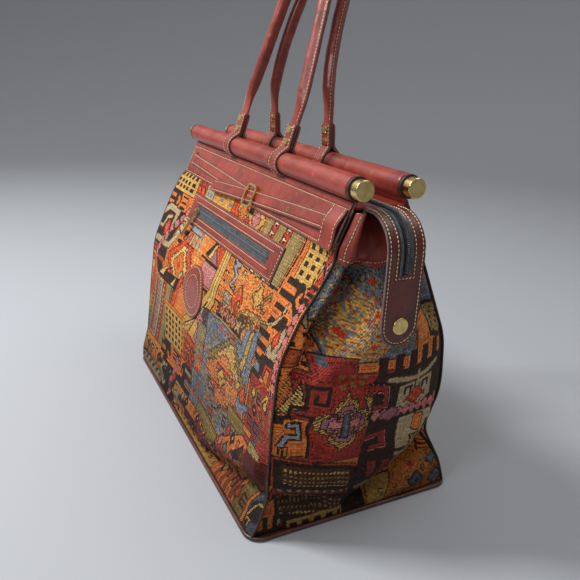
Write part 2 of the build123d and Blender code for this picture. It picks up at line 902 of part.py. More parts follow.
with BuildPart() as pocket_zip_tape:
    with BuildSketch(front_slope.offset(seam_gap)):
        with Locations((0, -pocket_drop)):
            RectangleRounded(
                pocket_window_length - 2 * tape_fit,
                pocket_window_width - 2 * tape_fit,
                pocket_corner,
            )
    extrude(amount=tape_thickness)
save(pocket_zip_tape, "pocket_zip_tape")

with BuildPart() as pocket_zip_coil:
    with BuildSketch(front_slope.offset(pocket_tape_face)):
        with Locations((0, -pocket_drop)):
            Rectangle(pocket_window_length - 2 * tape_fit, coil_width)
    extrude(amount=coil_height)
save(pocket_zip_coil, "pocket_zip_coil")

with BuildPart() as pocket_pouch:
    with BuildSketch(front_slope.offset(-cloth - seam_gap)):
        with Locations((0, -pocket_drop + pocket_mouth_width)):
            Rectangle(pouch_length, pouch_width, align=(Align.CENTER, Align.MAX))
    extrude(amount=-pouch_thickness)
save(pocket_pouch, "pocket_pouch")

with BuildPart() as stitched_patch:
    with BuildSketch(Plane.YZ.offset(patch_place)):
        wall_section(cloth_top_height, -seam_gap - patch_leather, -seam_gap)
    extrude(amount=patch_radius, both=True)
    with BuildSketch(Plane.XZ):
        with Locations((patch_place, patch_height)):
            Circle(patch_radius)
    extrude(amount=base_depth, mode=Mode.INTERSECT)
save(stitched_patch, "stitched_patch")
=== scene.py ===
"""Looks of a carpet bag: woven tapestry walls, red-brown leather trim, cream stitches and brass.

Lengths below are millimetres in the part's own frame: +X along the bars, -Y the front, +Z up.
Meshes are made in metres.
"""

import math

import bmesh
import bpy
import numpy as np
from mathutils import Matrix, Vector, noise
from mathutils.kdtree import KDTree


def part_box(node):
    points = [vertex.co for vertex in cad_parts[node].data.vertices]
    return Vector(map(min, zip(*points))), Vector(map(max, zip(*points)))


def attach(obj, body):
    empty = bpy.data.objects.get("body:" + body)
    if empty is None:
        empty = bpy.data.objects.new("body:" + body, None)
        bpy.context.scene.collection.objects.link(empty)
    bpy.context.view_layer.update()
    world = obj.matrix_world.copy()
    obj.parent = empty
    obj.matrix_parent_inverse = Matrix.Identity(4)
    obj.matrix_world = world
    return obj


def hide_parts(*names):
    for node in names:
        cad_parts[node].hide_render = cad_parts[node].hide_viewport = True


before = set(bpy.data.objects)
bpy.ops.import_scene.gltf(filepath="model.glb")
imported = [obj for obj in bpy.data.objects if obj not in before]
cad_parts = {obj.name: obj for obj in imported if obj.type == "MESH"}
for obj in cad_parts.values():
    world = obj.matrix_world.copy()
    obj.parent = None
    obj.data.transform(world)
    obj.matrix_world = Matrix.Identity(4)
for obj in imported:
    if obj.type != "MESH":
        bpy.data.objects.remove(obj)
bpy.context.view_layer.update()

MM = 0.001
MIRROR_X = np.array([-1, 1, 1])
MIRROR_Y = np.array([1, -1, 1])
BARS = ("front", "rear")

# Sizes that the part's solids have, read from the frame
seam_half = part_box("front_panel")[1].x / MM
foot_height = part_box("front_panel")[0].z / MM
foot_half = -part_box("front_panel")[0].y / MM
tongue_reach = (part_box("right_snap_cap")[0].x / MM) - 0.1
band_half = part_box("front_band")[1].x / MM
patch_low, patch_high = (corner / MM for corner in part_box("stitched_patch"))

# Wall profile
wall_top_height = 376
wall_top_half = 33
shoulder_height = 216
shoulder_half = 105
shoulder_radius = 110
waist_height = 55
waist_half = 121
waist_radius = 60
cloth_thickness = 2.4
wall_gap = 2.8

# Leather band, straps and pocket on the front's slope
band_drop = 49
band_face = 2.55
cloth_top = 38
strap_half = 9
strap_face = 5.05
tongue_strap_face = 7.55
buckle_strap_line = ((-226, 24), (-96, 30), (31, 36))
tongue_strap_line = ((220, 24), (34, 36), (-94, 46))
pocket_drop = 92
pocket_half_width = 22.5
pocket_half_length = 161
pocket_face = 2.5
pocket_window_half_length = 134
pocket_window_half_width = 7.75

# Bars, handles and loops
bar_half = 31
bar_height = 395
sleeve_radius = 13
loop_radius = 15.5
loop_half_width = 10.5
handle_half_span = 79.4
neck_half = 4.5
neck_base = 19.6
neck_top = 47
tab_end = 17.5
tab_half_width = 9.4
tab_half_thickness = 2.15
roll_start = 72
roll_radius = 7.8
handle_bend = 60
arch_half = 51
arch_height = 238
arch_radius = 47
handle_lean = {"front": 17, "rear": -3}
handle_bow = {"front": 0, "rear": 52}
bow_start = 75
bow_power = 1.5
flange_row = 10.4
flange_half = 2.3

# Half outline of the rolled leather and its sewn flange: across the arch, then outwards
roll_outline = [
    (0.0, 12.5), (1.5, 12.45), (2.1, 12.0), (2.3, 10.8), (2.5, 9.4), (3.1, 8.1), (4.4, 6.7), (5.9, 5.1),
    (7.1, 3.2), (7.75, 1.1), (7.75, -1.2), (7.05, -3.4), (5.6, -5.4), (3.6, -6.9), (1.3, -7.7), (0.0, -7.8),
]

# How far the seams of the front wall stand off the even profile, by height, then the swell of
# the front as rise, place down the wall and spread, and the pinch above the rear foot
seam_heights = [3, 20, 45, 70, 144, 198, 265, 293, 323, 345, 376]
right_seam_shift = [0, -3, -4, -1, 4, 5, 3.5, -2, -5, -2, 0]
left_seam_shift = [2, 6, 7, 7, 7, 6, 8, 8, 6, 3, 0]
front_belly = (4.5, 255, 75)
front_lean = (-5.0, 205, 55)
lean_middle = -40
lean_reach = 105
rear_pinch = 21
pinch_height = 95
pinch_reach = 36

# Sewn strip over the strap's right end, and the leather of the side bands
strip_start = 221
strip_end = 248.6
strip_leather = 2.0
strip_rise = 2.6
strip_hump = (4.4, 24, 13)
side_band_face = 1.2
side_band_leather = 2.3
side_band_top = 372
side_row_top = 368
side_row_inset = 4.5
patch_face = 2.35

# Tongues over the zip's ends
tongue_half = 22
tongue_bend = 38
tongue_end_height = 242
zip_window_half = 7.25
window_end_height = 318

# Gusset: height shares of the wall, and the reach of its middle and quarter points as
# shares of the belly. The last three rows dip in under the leather of the side band.
belly_reach = 43
gusset_shares = [
    (0.008, 0.09, 0.07),
    (0.120, 0.14, 0.12),
    (0.270, 0.52, 0.42),
    (0.430, 0.84, 0.66),
    (0.585, 1.00, 0.74),
    (0.700, 1.00, 0.66),
    (0.790, 0.36, 0.34),
    (0.866, -0.10, 0.02),
    (0.930, -0.50, -0.12),
    (0.990, -1.00, -0.35),
]
gusset_top = 0.866 * wall_top_height
# Roll of the side walls near their seams: rise by height, place across and spread
roll_heights = [190, 250, 300, 335, 372]
roll_rises = [0, 5, 7, 7, 5]
roll_place = 0.76
roll_spread = 0.22

# Creases: rise of the ridge, or fall below zero, then start, end and width. Places on the
# front are across and down the wall, places on a gusset are across and up.
FRONT_PULLS = [
    (1.8, (165, 122), (236, 142), 6),
    (-1.7, (168, 134), (240, 158), 6),
    (2.2, (120, 168), (205, 152), 8),
    (-1.6, (60, 205), (150, 168), 9),
]
FRONT_FOLDS = [
    (11.0, (70, 366), (250, 304), 20),
    (-13.0, (40, 396), (262, 336), 10),
    (3.0, (-230, 352), (20, 372), 16),
    (-3.5, (-250, 372), (40, 394), 9),
]
GUSSET_FOLDS = [
    (-37.0, (-26, 302), (-62, 248), 16),
    (-16.0, (-60, 254), (-94, 206), 10),
    (-15.0, (20, 302), (82, 248), 13),
    (9.0, (-62, 312), (-102, 236), 12),
    (7.0, (-72, 208), (-34, 120), 18),
    (-17.0, (104, 100), (64, 56), 11),
    (-16.0, (64, 56), (-8, 8), 11),
    (10.0, (84, 128), (0, 62), 19),
    (5.0, (112, 38), (60, 10), 12),
    (-13.0, (-132, 56), (-48, 26), 9),
    (8.0, (-122, 86), (-30, 56), 14),
    (-6.0, (-56, 206), (0, 190), 6),
    (-6.0, (-96, 160), (-60, 116), 7),
]

# Zips: how far the coil stops short of a tongue's end, and where coils and ribs lie
zip_tail = 78
zip_steps = 60
coil_lift = 1.3
top_rib_places = (-6.2, -4.6, 4.6, 6.2)
top_rib_depth = 0.5
pocket_coil_lift = 2.9
pocket_rib_places = (-6.4, -4.0, -1.8, 1.8, 4.0, 6.4)
pocket_rib_lift = 2.2
rib_pitch = 2.4
rib_size = (1.7, 1.7, 4.4)

# Cords in the corner seams
seam_cord_radius = 1.3
seam_cord_inset = 0.7
seam_cord_ends = (4.5, 374)

# Threads and stitches
knot = 1.55
knot_spread = 0.19
weft_spread = 0.09
warp_spread = 0.05
# Every second row of knots darker: painted shade that gives the rows a ribbed look
odd_row_shade = 0.86
shade_limits = (0.4, 1.5)
warp_shown_least = 0.03
warp_shown_more = 0.24
ripple_step = 6
ripple_hold = 9
back_knot = 2.1
lining_step = 4
stitch_pitch = 4.2
stitch_length = 3.2
stitch_thickness = 1.15
groove_reach = 1.7
groove_depth = 0.5
# Reach of the painted shade beside the stitch rows
stitch_shade_reach = 2.8
stitch_inset = 3.2

# Colours of the yarns and finishes, as sRGB shares of 255
YARNS = {
    "orange": (234, 132, 64),
    "rust": (180, 80, 42),
    "gold": (218, 168, 86),
    "straw": (232, 192, 112),
    "olive": (138, 114, 58),
    "khaki": (168, 144, 92),
    "stone": (192, 172, 132),
    "cream": (228, 210, 170),
    "ink": (32, 26, 27),
    "brown": (82, 52, 38),
    "slate": (112, 128, 140),
    "steel": (76, 92, 106),
    "mist": (158, 168, 174),
    "red": (208, 62, 38),
    "crimson": (160, 50, 48),
    "maroon": (88, 24, 26),
    "pink": (216, 126, 124),
    "mauve": (166, 108, 116),
}
WARP = (142, 90, 50)
LINING_SIDE = (92, 74, 60)
CUT_EDGE = (118, 104, 98)
CUT_FUZZ = (92, 80, 76)
FLOOR_GREY = (172, 175, 180)
# Painted shade with some dirt: the cloth's darkest share at the foot, and the height where it fades out
foot_shade_and_dirt = 0.42
shade_and_dirt_height = 175


def linear(colour):
    """An sRGB colour out of 255 as linear shares with full alpha."""
    shares = np.asarray(colour, float) / 255
    low = shares / 12.92
    high = ((shares + 0.055) / 1.055) ** 2.4
    return tuple(np.where(shares <= 0.04045, low, high)) + (1.0,)


# Pairs of yarns for small fill motifs: the middle and its dark edge
FILL_YARNS = [
    ("gold", "ink"), ("slate", "ink"), ("red", "brown"),
    ("straw", "ink"), ("pink", "maroon"), ("mist", "ink"),
]

# Yarn of the thin line inside the edge of a field
INNER_LINES = {
    "orange": "rust",
    "slate": "mist",
    "steel": "slate",
    "crimson": "maroon",
    "red": "orange",
    "olive": "khaki",
    "khaki": "olive",
    "rust": "brown",
}
yarn_names = list(YARNS)
yarn_index = {name: place for place, name in enumerate(yarn_names)}
yarn_colours = np.array([linear(YARNS[name]) for name in yarn_names])


# Shape of the walls


def rounded_line(corners, radii, arc_steps=24):
    """Points along a line of straight runs whose inner corners are rounded."""
    corners = [np.asarray(corner, float) for corner in corners]
    points = [corners[0]]
    for before, corner, after, radius in zip(corners, corners[1:], corners[2:], radii):
        back = (before - corner) / np.linalg.norm(before - corner)
        ahead = (after - corner) / np.linalg.norm(after - corner)
        half_angle = math.acos(float(back @ ahead)) / 2
        trim = radius / math.tan(half_angle)
        middle = (back + ahead) / np.linalg.norm(back + ahead)
        centre = corner + middle * radius / math.sin(half_angle)
        start = corner + back * trim - centre
        end = corner + ahead * trim - centre
        turn = math.pi - 2 * half_angle
        for step in range(arc_steps + 1):
            share = step / arc_steps
            mix = np.sin((1 - share) * turn) * start + np.sin(share * turn) * end
            points.append(centre + mix / math.sin(turn))
    points.append(corners[-1])
    return np.array(points)


def unit(vectors):
    """Vectors brought to length 1."""
    return vectors / np.linalg.norm(vectors, axis=-1, keepdims=True)


def lengths_along(points):
    """Distance from the first point to each point of a line."""
    steps = np.linalg.norm(np.diff(points, axis=0), axis=1)
    return np.concatenate([[0], np.cumsum(steps)])


profile = rounded_line(
    [
        (wall_top_half, wall_top_height),
        (shoulder_half, shoulder_height),
        (waist_half, waist_height),
        (foot_half, foot_height),
    ],
    [shoulder_radius, waist_radius],
)
profile_run = lengths_along(profile)
wall_run = profile_run[-1]


def half_depth(height):
    """Half depth of the bag's outside at a height."""
    return np.interp(height, profile[::-1, 1], profile[::-1, 0])


def run_at(height):
    """Distance down the wall from its top edge to a height."""
    return np.interp(height, profile[::-1, 1], profile_run[::-1])


def smooth_share(value, start, end):
    """0 before start, 1 after end, with soft ends."""
    share = np.clip((value - start) / (end - start), 0, 1)
    return share * share * (3 - 2 * share)


def hump(value, rise, place, spread):
    """A soft rise round one place, falling off over the spread."""
    return rise * np.exp(-(((value - place) / spread) ** 2))


def crease(across, along, start, end, width):
    """1 on the line between two points of a surface, falling off softly over the width."""
    start = np.asarray(start, float)
    end = np.asarray(end, float)
    span = end - start
    share = ((across - start[0]) * span[0] + (along - start[1]) * span[1]) / (span @ span)
    share = np.clip(share, 0, 1)
    gap = np.hypot(across - start[0] - share * span[0], along - start[1] - share * span[1])
    return np.exp(-((gap / width) ** 2))


def creased(across, along, creases):
    """Several creases added up, each with its own rise."""
    total = 0.0
    for rise, start, end, width in creases:
        total = total + rise * crease(across, along, start, end, width)
    return total


def soft_noise(points, size, seed):
    """Smooth noise from -1 to 1 at each point, with features about that size."""
    shift = Vector((seed * 17.3, seed * 5.1, seed * 9.7))
    return np.array([noise.noise(Vector(point) / size + shift) for point in points])


def wall_swell(x, run):
    """How far the front cloth stands out of its flat profile."""
    away_from_seams = smooth_share(seam_half - np.abs(x), 2, 60)
    below_band = smooth_share(run, cloth_top, cloth_top + 25)
    above_base = smooth_share(wall_run - run, 2, 40)
    pocket_gap = np.maximum(
        np.abs(x) - pocket_half_length, np.abs(run - pocket_drop) - pocket_half_width
    )
    clear_of_pocket = smooth_share(pocket_gap, 4, 34)
    belly = hump(run, *front_belly) * np.cos(x / seam_half * math.pi / 2)
    lean = hump(run, *front_lean) * np.sin((x - lean_middle) / lean_reach)
    pulls = creased(x, run, FRONT_PULLS)
    swell = (belly + lean + pulls) * away_from_seams * above_base
    height = np.interp(run, profile_run, profile[:, 1])
    shift = smooth_share(x, 60, 240) * np.interp(height, seam_heights, right_seam_shift)
    shift = shift + smooth_share(-x, 60, 240) * np.interp(height, seam_heights, left_seam_shift)
    fold = creased(x, run, FRONT_FOLDS)
    fold = fold * smooth_share(seam_half - np.abs(x), 0, 14) * smooth_share(wall_run - run, 0, 14)
    return (swell + shift) * below_band * clear_of_pocket + fold


def wall_point(x, run, lift=0.0, swollen=True):
    """A point on the front wall, at a distance down from its top and lifted off its face."""
    x = np.asarray(x, float)
    run = np.asarray(run, float)
    half = np.interp(run, profile_run, profile[:, 0])
    height = np.interp(run, profile_run, profile[:, 1])
    ahead = np.clip(run + 2, 0, wall_run)
    behind = np.clip(run - 2, 0, wall_run)
    half_slope, fall = (
        np.interp(ahead, profile_run, profile[:, axis]) - np.interp(behind, profile_run, profile[:, axis])
        for axis in range(2)
    )
    size = np.hypot(half_slope, fall)
    out = lift + (wall_swell(x, run) if swollen else 0)
    return np.stack([x, -half + out * fall / size, height + out * half_slope / size], -1)


def eased(value, places, values):
    """Smooth curve through the values at those places."""
    places = np.asarray(places, float)
    values = np.asarray(values, float)
    slopes = np.gradient(values, places)
    value = np.clip(value, places[0], places[-1])
    index = np.clip(np.searchsorted(places, value) - 1, 0, len(places) - 2)
    step = places[index + 1] - places[index]
    t = (value - places[index]) / step
    return (
        (2 * t**3 - 3 * t**2 + 1) * values[index]
        + (t**3 - 2 * t**2 + t) * step * slopes[index]
        + (3 * t**2 - 2 * t**3) * values[index + 1]
        + (t**3 - t**2) * step * slopes[index + 1]
    )


def front_seam(side):
    """Heights and half depths of the front wall's seam at one end."""
    run = np.linspace(0, wall_run, 160)
    points = wall_point(0 * run + side * seam_half, run)
    return points[::-1, 2], -points[::-1, 1]


def rear_half_depth(height, x=seam_half):
    """Half depth of the back wall, which sags inwards above its lower corners."""
    pinch = hump(height, rear_pinch, pinch_height, pinch_reach)
    return half_depth(height) - pinch * smooth_share(np.abs(x), 105, 245)


def gusset_point(across, height, lift=0.0, side=1):
    """A point on a side wall, from its front seam at -1 to its rear seam at 1."""
    across, height = np.broadcast_arrays(np.asarray(across, float), np.asarray(height, float))
    front_half = np.interp(height, *front_seam(side)) - wall_gap
    half = np.where(across < 0, front_half, rear_half_depth(height) - wall_gap)
    heights = [share[0] * wall_top_height for share in gusset_shares]
    middle = eased(height, heights, [share[1] for share in gusset_shares])
    quarter = eased(height, heights, [share[2] for share in gusset_shares])
    square_term = 16 / 3 * (quarter - middle * 15 / 16)
    bulge = middle + square_term * across**2 - (middle + square_term) * across**4
    y = across * half
    edge_hold = smooth_share(1 - np.abs(across), 0, 0.22)
    base_hold = smooth_share(height, foot_height, foot_height + 16)
    band_hold = smooth_share(gusset_top + 6 - height, 0, 18)
    corner_roll = np.interp(height, roll_heights, roll_rises)
    corner_roll = hump(np.abs(across), corner_roll, roll_place, roll_spread) * edge_hold**0.4
    reach = seam_half + bulge * belly_reach + corner_roll
    reach = reach + creased(y, height, GUSSET_FOLDS) * edge_hold * base_hold * band_hold + lift
    return np.stack([side * reach, y, height], -1)


slope_up = np.array([0, shoulder_half - wall_top_half, wall_top_height - shoulder_height], float)
slope_up = slope_up / np.linalg.norm(slope_up)
slope_out = np.array([0, -slope_up[2], slope_up[1]])


def slope_point(x, drop, lift):
    """A point on the flat slope under the front bar."""
    x = np.asarray(x, float)
    drop = np.asarray(drop, float) + 0 * x
    start = np.array([0, -wall_top_half, wall_top_height])
    return start + x[..., None] * np.array([1, 0, 0]) - drop[..., None] * slope_up + lift * slope_out


# Weaving: each knot of the cloth takes one yarn


def grown(mask):
    """A mask with the direct neighbours of its knots added."""
    near = mask.copy()
    near[:, 1:] |= mask[:, :-1]
    near[:, :-1] |= mask[:, 1:]
    near[1:, :] |= mask[:-1, :]
    near[:-1, :] |= mask[1:, :]
    return near


class Loom:
    """A grid of knots with millimetre places, painted with woven motifs."""

    def __init__(self, left, top, right, bottom, size, ground):
        self.columns = round((right - left) / size / lining_step) * lining_step
        self.rows = round((bottom - top) / size / lining_step) * lining_step
        across = left + (np.arange(self.columns) + 0.5) * (right - left) / self.columns
        down = top + (np.arange(self.rows) + 0.5) * (bottom - top) / self.rows
        self.x, self.y = np.meshgrid(across, down)
        self.yarn = np.full(self.x.shape, yarn_index[ground])
        self.field = self.yarn.copy()

    def lay(self, mask, colour, field=True):
        self.yarn[mask] = yarn_index[colour]
        if field:
            self.field[mask] = yarn_index[colour]

    def outline(self, seed):
        """Dark knots along the edge of every field that has no dark neighbour already."""
        edge = np.zeros(self.field.shape, bool)
        edge[:, :-1] |= self.field[:, :-1] != self.field[:, 1:]
        edge[:-1, :] |= self.field[:-1, :] != self.field[1:, :]
        dark = [yarn_index[name] for name in ("ink", "brown", "maroon")]
        near_dark = np.isin(self.field, dark)
        near_dark[:, :-1] |= near_dark[:, 1:]
        near_dark[:-1, :] |= near_dark[1:, :]
        draw = np.random.default_rng(seed).random(self.field.shape)
        self.yarn[edge & ~near_dark & (draw < 0.8)] = yarn_index["ink"]
        self.yarn[edge & ~near_dark & (draw >= 0.8)] = yarn_index["brown"]
        two_away = grown(grown(edge))
        inner = grown(two_away) & ~two_away & (self.yarn == self.field) & (draw < 0.82)
        for name, accent in INNER_LINES.items():
            self.yarn[inner & (self.field == yarn_index[name])] = yarn_index[accent]

    def inside(self, left, top, right, bottom):
        return (self.x >= left) & (self.x < right) & (self.y >= top) & (self.y < bottom)

    def block(self, colour, left, top, right, bottom):
        self.lay(self.inside(left, top, right, bottom), colour)

    def checks(self, colour, left, top, right, bottom, pitch_x, pitch_y, share=0.58):
        phase_x = ((self.x - left) / pitch_x) % 1
        phase_y = ((self.y - top) / pitch_y) % 1
        mask = (phase_x < share) & (phase_y < share) & self.inside(left, top, right, bottom)
        self.lay(mask, colour, False)

    def stripes(self, colours, left, top, right, bottom, width, lean=0.0):
        place = (self.x - left - lean * (self.y - top)) / width
        order = np.floor(place).astype(int) % len(colours)
        for index, colour in enumerate(colours):
            self.lay((order == index) & self.inside(left, top, right, bottom), colour)

    def leaning_stripes(self, colours, left, top, bottom, widths, lean, border="ink"):
        start = left
        for colour, width in zip(colours, widths):
            place = self.x - lean * (self.y - top) - start
            rows = (self.y >= top) & (self.y < bottom)
            self.lay(rows & (place >= 0) & (place < width), border)
            self.lay(rows & (place >= 1.6) & (place < width - 0.4), colour)
            start += width

    def diamond(self, colour, x, y, half_width, half_height, step=5.0):
        down = np.floor(np.abs(self.y - y) / step) * step
        across = np.abs(self.x - x)
        reach = half_width * (1 - down / half_height)
        self.lay((np.abs(self.y - y) <= half_height) & (across <= reach), colour)

    def flower(self, colour, x, y, size, step=4.5):
        gap_x = np.floor(np.abs(self.x - x) / step) * step
        gap_y = np.floor(np.abs(self.y - y) / step) * step
        petal = np.maximum(gap_x, gap_y) + 0.55 * np.minimum(gap_x, gap_y)
        notch = 1 + 0.16 * np.cos(4 * np.arctan2(self.y - y, self.x - x))
        self.lay(petal < size * notch, colour)

    def line(self, colour, points, width):
        for (start_x, start_y), (end_x, end_y) in zip(points, points[1:]):
            span_x = end_x - start_x
            span_y = end_y - start_y
            square = span_x**2 + span_y**2
            share = ((self.x - start_x) * span_x + (self.y - start_y) * span_y) / square
            share = np.clip(share, 0, 1)
            gap_x = np.abs(self.x - start_x - share * span_x)
            gap_y = np.abs(self.y - start_y - share * span_y)
            self.lay(np.maximum(gap_x, gap_y) <= width / 2, colour)

    def outlined(self, colour, border, points, width, edge=1.8):
        self.line(border, points, width + 2 * edge)
        self.line(colour, points, width)

    def polygon(self, colour, points, field=True):
        mask = np.zeros(self.x.shape, bool)
        for (ax, ay), (bx, by) in zip(points, points[1:] + points[:1]):
            crosses = (ay > self.y) != (by > self.y)
            reach = ax + (self.y - ay) * (bx - ax) / (by - ay if by != ay else 1)
            mask ^= crosses & (self.x < reach)
        self.lay(mask, colour, field)

    def comb(self, colour, stem_x, tip_x, top, pitch, teeth, thickness):
        for tooth in range(teeth):
            y = top + tooth * pitch
            left, right = sorted((stem_x, tip_x))
            self.block(colour, left, y, right, y + thickness)

    def upright_comb(self, colour, stem_y, tip_y, left, pitch, teeth, thickness):
        for tooth in range(teeth):
            x = left + tooth * pitch
            top, bottom = sorted((stem_y, tip_y))
            self.block(colour, x, top, x + thickness, bottom)

    def cross(self, colour, x, y, size):
        self.lay(self.inside(x - size, y - size / 3, x + size, y + size / 3), colour, False)
        self.lay(self.inside(x - size / 3, y - size, x + size / 3, y + size), colour, False)

    def crosses(self, colour, places, size):
        for x, y in places:
            self.cross(colour, x, y, size)

    def chain(self, colour, border, start, end, links, size):
        self.line(border, [start, end], size * 1.15)
        for link in range(links):
            share = (link + 0.5) / links
            x = start[0] + share * (end[0] - start[0])
            y = start[1] + share * (end[1] - start[1])
            self.diamond(colour, x, y, size * 0.62, size * 0.8, 2.0)

    def speckle(self, colour, left, top, right, bottom, share, seed):
        draw = np.random.default_rng(seed).random(self.x.shape)
        self.lay(self.inside(left, top, right, bottom) & (draw < share), colour, False)

    def dashes(self, colour, left, top, right, bottom, share, seed):
        """Short loose floats of one yarn, thickest away from the box's edges."""
        rows, columns = self.x.shape
        draw = np.random.default_rng(seed).random((rows, columns // 2 + 1))
        draw = draw.repeat(2, axis=1)[:, :columns]
        edge = np.minimum(
            np.minimum(self.x - left, right - self.x), np.minimum(self.y - top, bottom - self.y)
        )
        self.lay(draw < share * smooth_share(edge, 0, 14), colour, False)

    def rosette(self, colour, x, y, reach, lobe, step=3.2):
        """Four stepped lobes round a middle."""
        gap_x = np.round(np.abs(self.x - x) / step) * step
        gap_y = np.round(np.abs(self.y - y) / step) * step
        side = np.hypot(gap_x - reach, gap_y) < lobe
        end = np.hypot(gap_x, gap_y - reach) < lobe
        self.lay(side | end | (gap_x + gap_y < reach), colour)

    def hatch(self, colour, mask, pitch, lean=1):
        phase = ((self.x + lean * self.y) / pitch) % 1
        self.lay(mask & (phase < 0.42), colour, False)

    def hatched(self, colour, left, top, right, bottom, pitch=4.7, lean=1):
        self.hatch(colour, self.inside(left, top, right, bottom), pitch, lean)

    def zigzag(self, colour, left, right, y, rise, period, width):
        phase = ((self.x - left) / period) % 1
        height = y + rise * (2 * np.abs(phase - 0.5) - 0.5)
        mask = (np.abs(self.y - height) < width / 2) & (self.x >= left) & (self.x < right)
        self.lay(mask, colour)

    def stepped_edge(self, colour, left, right, y, rise, period):
        phase = ((self.x - left) / period) % 1
        height = y + rise * np.floor(4 * np.abs(phase - 0.5) * 2) / 4
        mask = (self.y < height) & (self.y > y - rise) & (self.x >= left) & (self.x < right)
        self.lay(mask, colour)


def check_field(loom, left, top, right, bottom):
    """A gold field with a regular grid of dark knots."""
    loom.block("gold", left, top, right, bottom)
    loom.speckle("straw", left, top, right, bottom, 0.22, 4)
    loom.checks("ink", left + 4, top + 4, right - 2, bottom - 1, 15.5, 10.5)


def key_fret(loom, colour, x, y, size, turn=1):
    """A square spiral."""
    s = size * turn
    points = [(x, y), (x, y - size), (x + s, y - size), (x + s, y + size * 0.4)]
    points += [(x + 0.45 * s, y + size * 0.4), (x + 0.45 * s, y - size * 0.35)]
    loom.line(colour, points, size * 0.24)


def ram_horn(loom, x, y, size, flip):
    """A stone hook that curls inwards round a dark eye."""
    f = flip * size
    points = [(x, y - 0.95 * size), (x + 0.85 * f, y - size), (x + f, y + 0.55 * size)]
    points += [(x + 0.25 * f, y + 0.75 * size), (x + 0.2 * f, y + 0.05 * size)]
    points += [(x + 0.58 * f, y - 0.1 * size)]
    loom.outlined("stone", "ink", points, size * 0.36)


def dart(loom, x, y, size):
    """A small pale dart with a dark heart."""
    loom.polygon("cream", [(x - size, y - size), (x + size, y - size * 0.4), (x, y + size)])
    loom.polygon("ink", [(x - size * 0.3, y - size * 0.1), (x + size, y), (x, y + size)])


def small_motifs(loom, left, top, right, bottom, pitch, seed):
    """Staggered rows of little frets, stepped diamonds and flowers that fill a field."""
    draw = np.random.default_rng(seed)
    size = 0.4 * pitch
    for row, y in enumerate(np.arange(top + pitch / 2, bottom - pitch / 3, pitch)):
        for x in np.arange(left + pitch / 2 * (1 + row % 2), right - pitch / 3, pitch):
            colour, border = FILL_YARNS[draw.integers(len(FILL_YARNS))]
            kind = draw.integers(4)
            if kind == 0:
                loom.diamond(border, x, y, size, 1.3 * size, 2.4)
                loom.diamond(colour, x, y, 0.6 * size, 0.8 * size, 2.4)
            elif kind == 1:
                key_fret(loom, border, x - 0.5 * size, y, size, 1)
            elif kind == 2:
                loom.rosette(border, x, y, 0.6 * size, 0.5 * size, 1.6)
                loom.cross(colour, x, y, 0.3 * size)
            else:
                loom.comb(border, x - size, x + 0.8 * size, y - size, 0.8 * size, 3, 0.36 * size)
                loom.block(border, x - size, y - size, x - 0.7 * size, y + size)


def arrow_stripe(loom, left, top, bottom, width, lean):
    """A red stripe with cream darts between khaki ones."""
    colours = ("khaki", "red", "khaki", "red", "khaki")
    widths = (width, width * 0.8, width, width * 0.8, width * 1.3)
    loom.leaning_stripes(colours, left, top, bottom, widths, lean)
    for offset in (1.4, 3.2):
        x = left + width * offset
        for y in np.arange(top + 5, bottom, 13):
            dart(loom, x + lean * (y - top), y, width * 0.28)


def weave_upper_left(loom):
    """Checks, combs and hooks beside the pocket's left end."""
    check_field(loom, -252, 34, -168, 82)
    loom.block("red", -168, 34, -128, 70)
    loom.zigzag("straw", -168, -128, 58, 14, 17, 3)
    loom.zigzag("pink", -168, -128, 45, 14, 17, 4)
    loom.block("ink", -252, 106, -170, 190)
    loom.block("orange", -252, 82, -170, 107)
    loom.comb("ink", -205, -252, 80, 13, 3, 7)
    loom.polygon("ink", [(-228, 80), (-204, 80), (-198, 92), (-205, 108), (-228, 108)])
    loom.line("orange", [(-214, 90), (-206, 96), (-214, 100)], 5)
    loom.comb("ink", -180, -196, 84, 9, 3, 4)
    loom.outlined("stone", "brown", [(-254, 124), (-232, 110), (-192, 112), (-194, 164), (-254, 168)], 9)
    loom.outlined("stone", "brown", [(-254, 146), (-234, 146), (-226, 128), (-210, 124)], 5)
    loom.flower("red", -212, 143, 10, 3)
    loom.cross("pink", -212, 143, 4)
    loom.block("rust", -252, 176, -222, 186)
    loom.chain("pink", "ink", (-164, 100), (-232, 204), 9, 9)
    loom.block("orange", -172, 110, -120, 172)
    loom.outlined("stone", "brown", [(-168, 116), (-158, 112), (-154, 132), (-168, 128)], 6)
    loom.outlined("stone", "brown", [(-192, 166), (-172, 164), (-158, 142), (-164, 140)], 8)
    loom.comb("ink", -150, -126, 112, 16, 4, 7)
    for colour, y, size, step in (("red", 176, 40, 6), ("straw", 178, 26, 5), ("orange", 178, 15, 4)):
        loom.flower(colour, -112, y, size, step)
    loom.cross("red", -112, 178, 7)
    loom.line("ink", [(-160, 200), (-132, 188)], 3)
    loom.line("ink", [(-92, 182), (-62, 206)], 3)
    loom.polygon("ink", [(-222, 196), (-186, 184), (-172, 200), (-98, 196), (-112, 224), (-196, 214)])
    loom.polygon("straw", [(-186, 210), (-152, 190), (-168, 210)])
    loom.polygon("straw", [(-132, 214), (-112, 198), (-120, 214)])
    loom.block("rust", -204, 186, -176, 192)


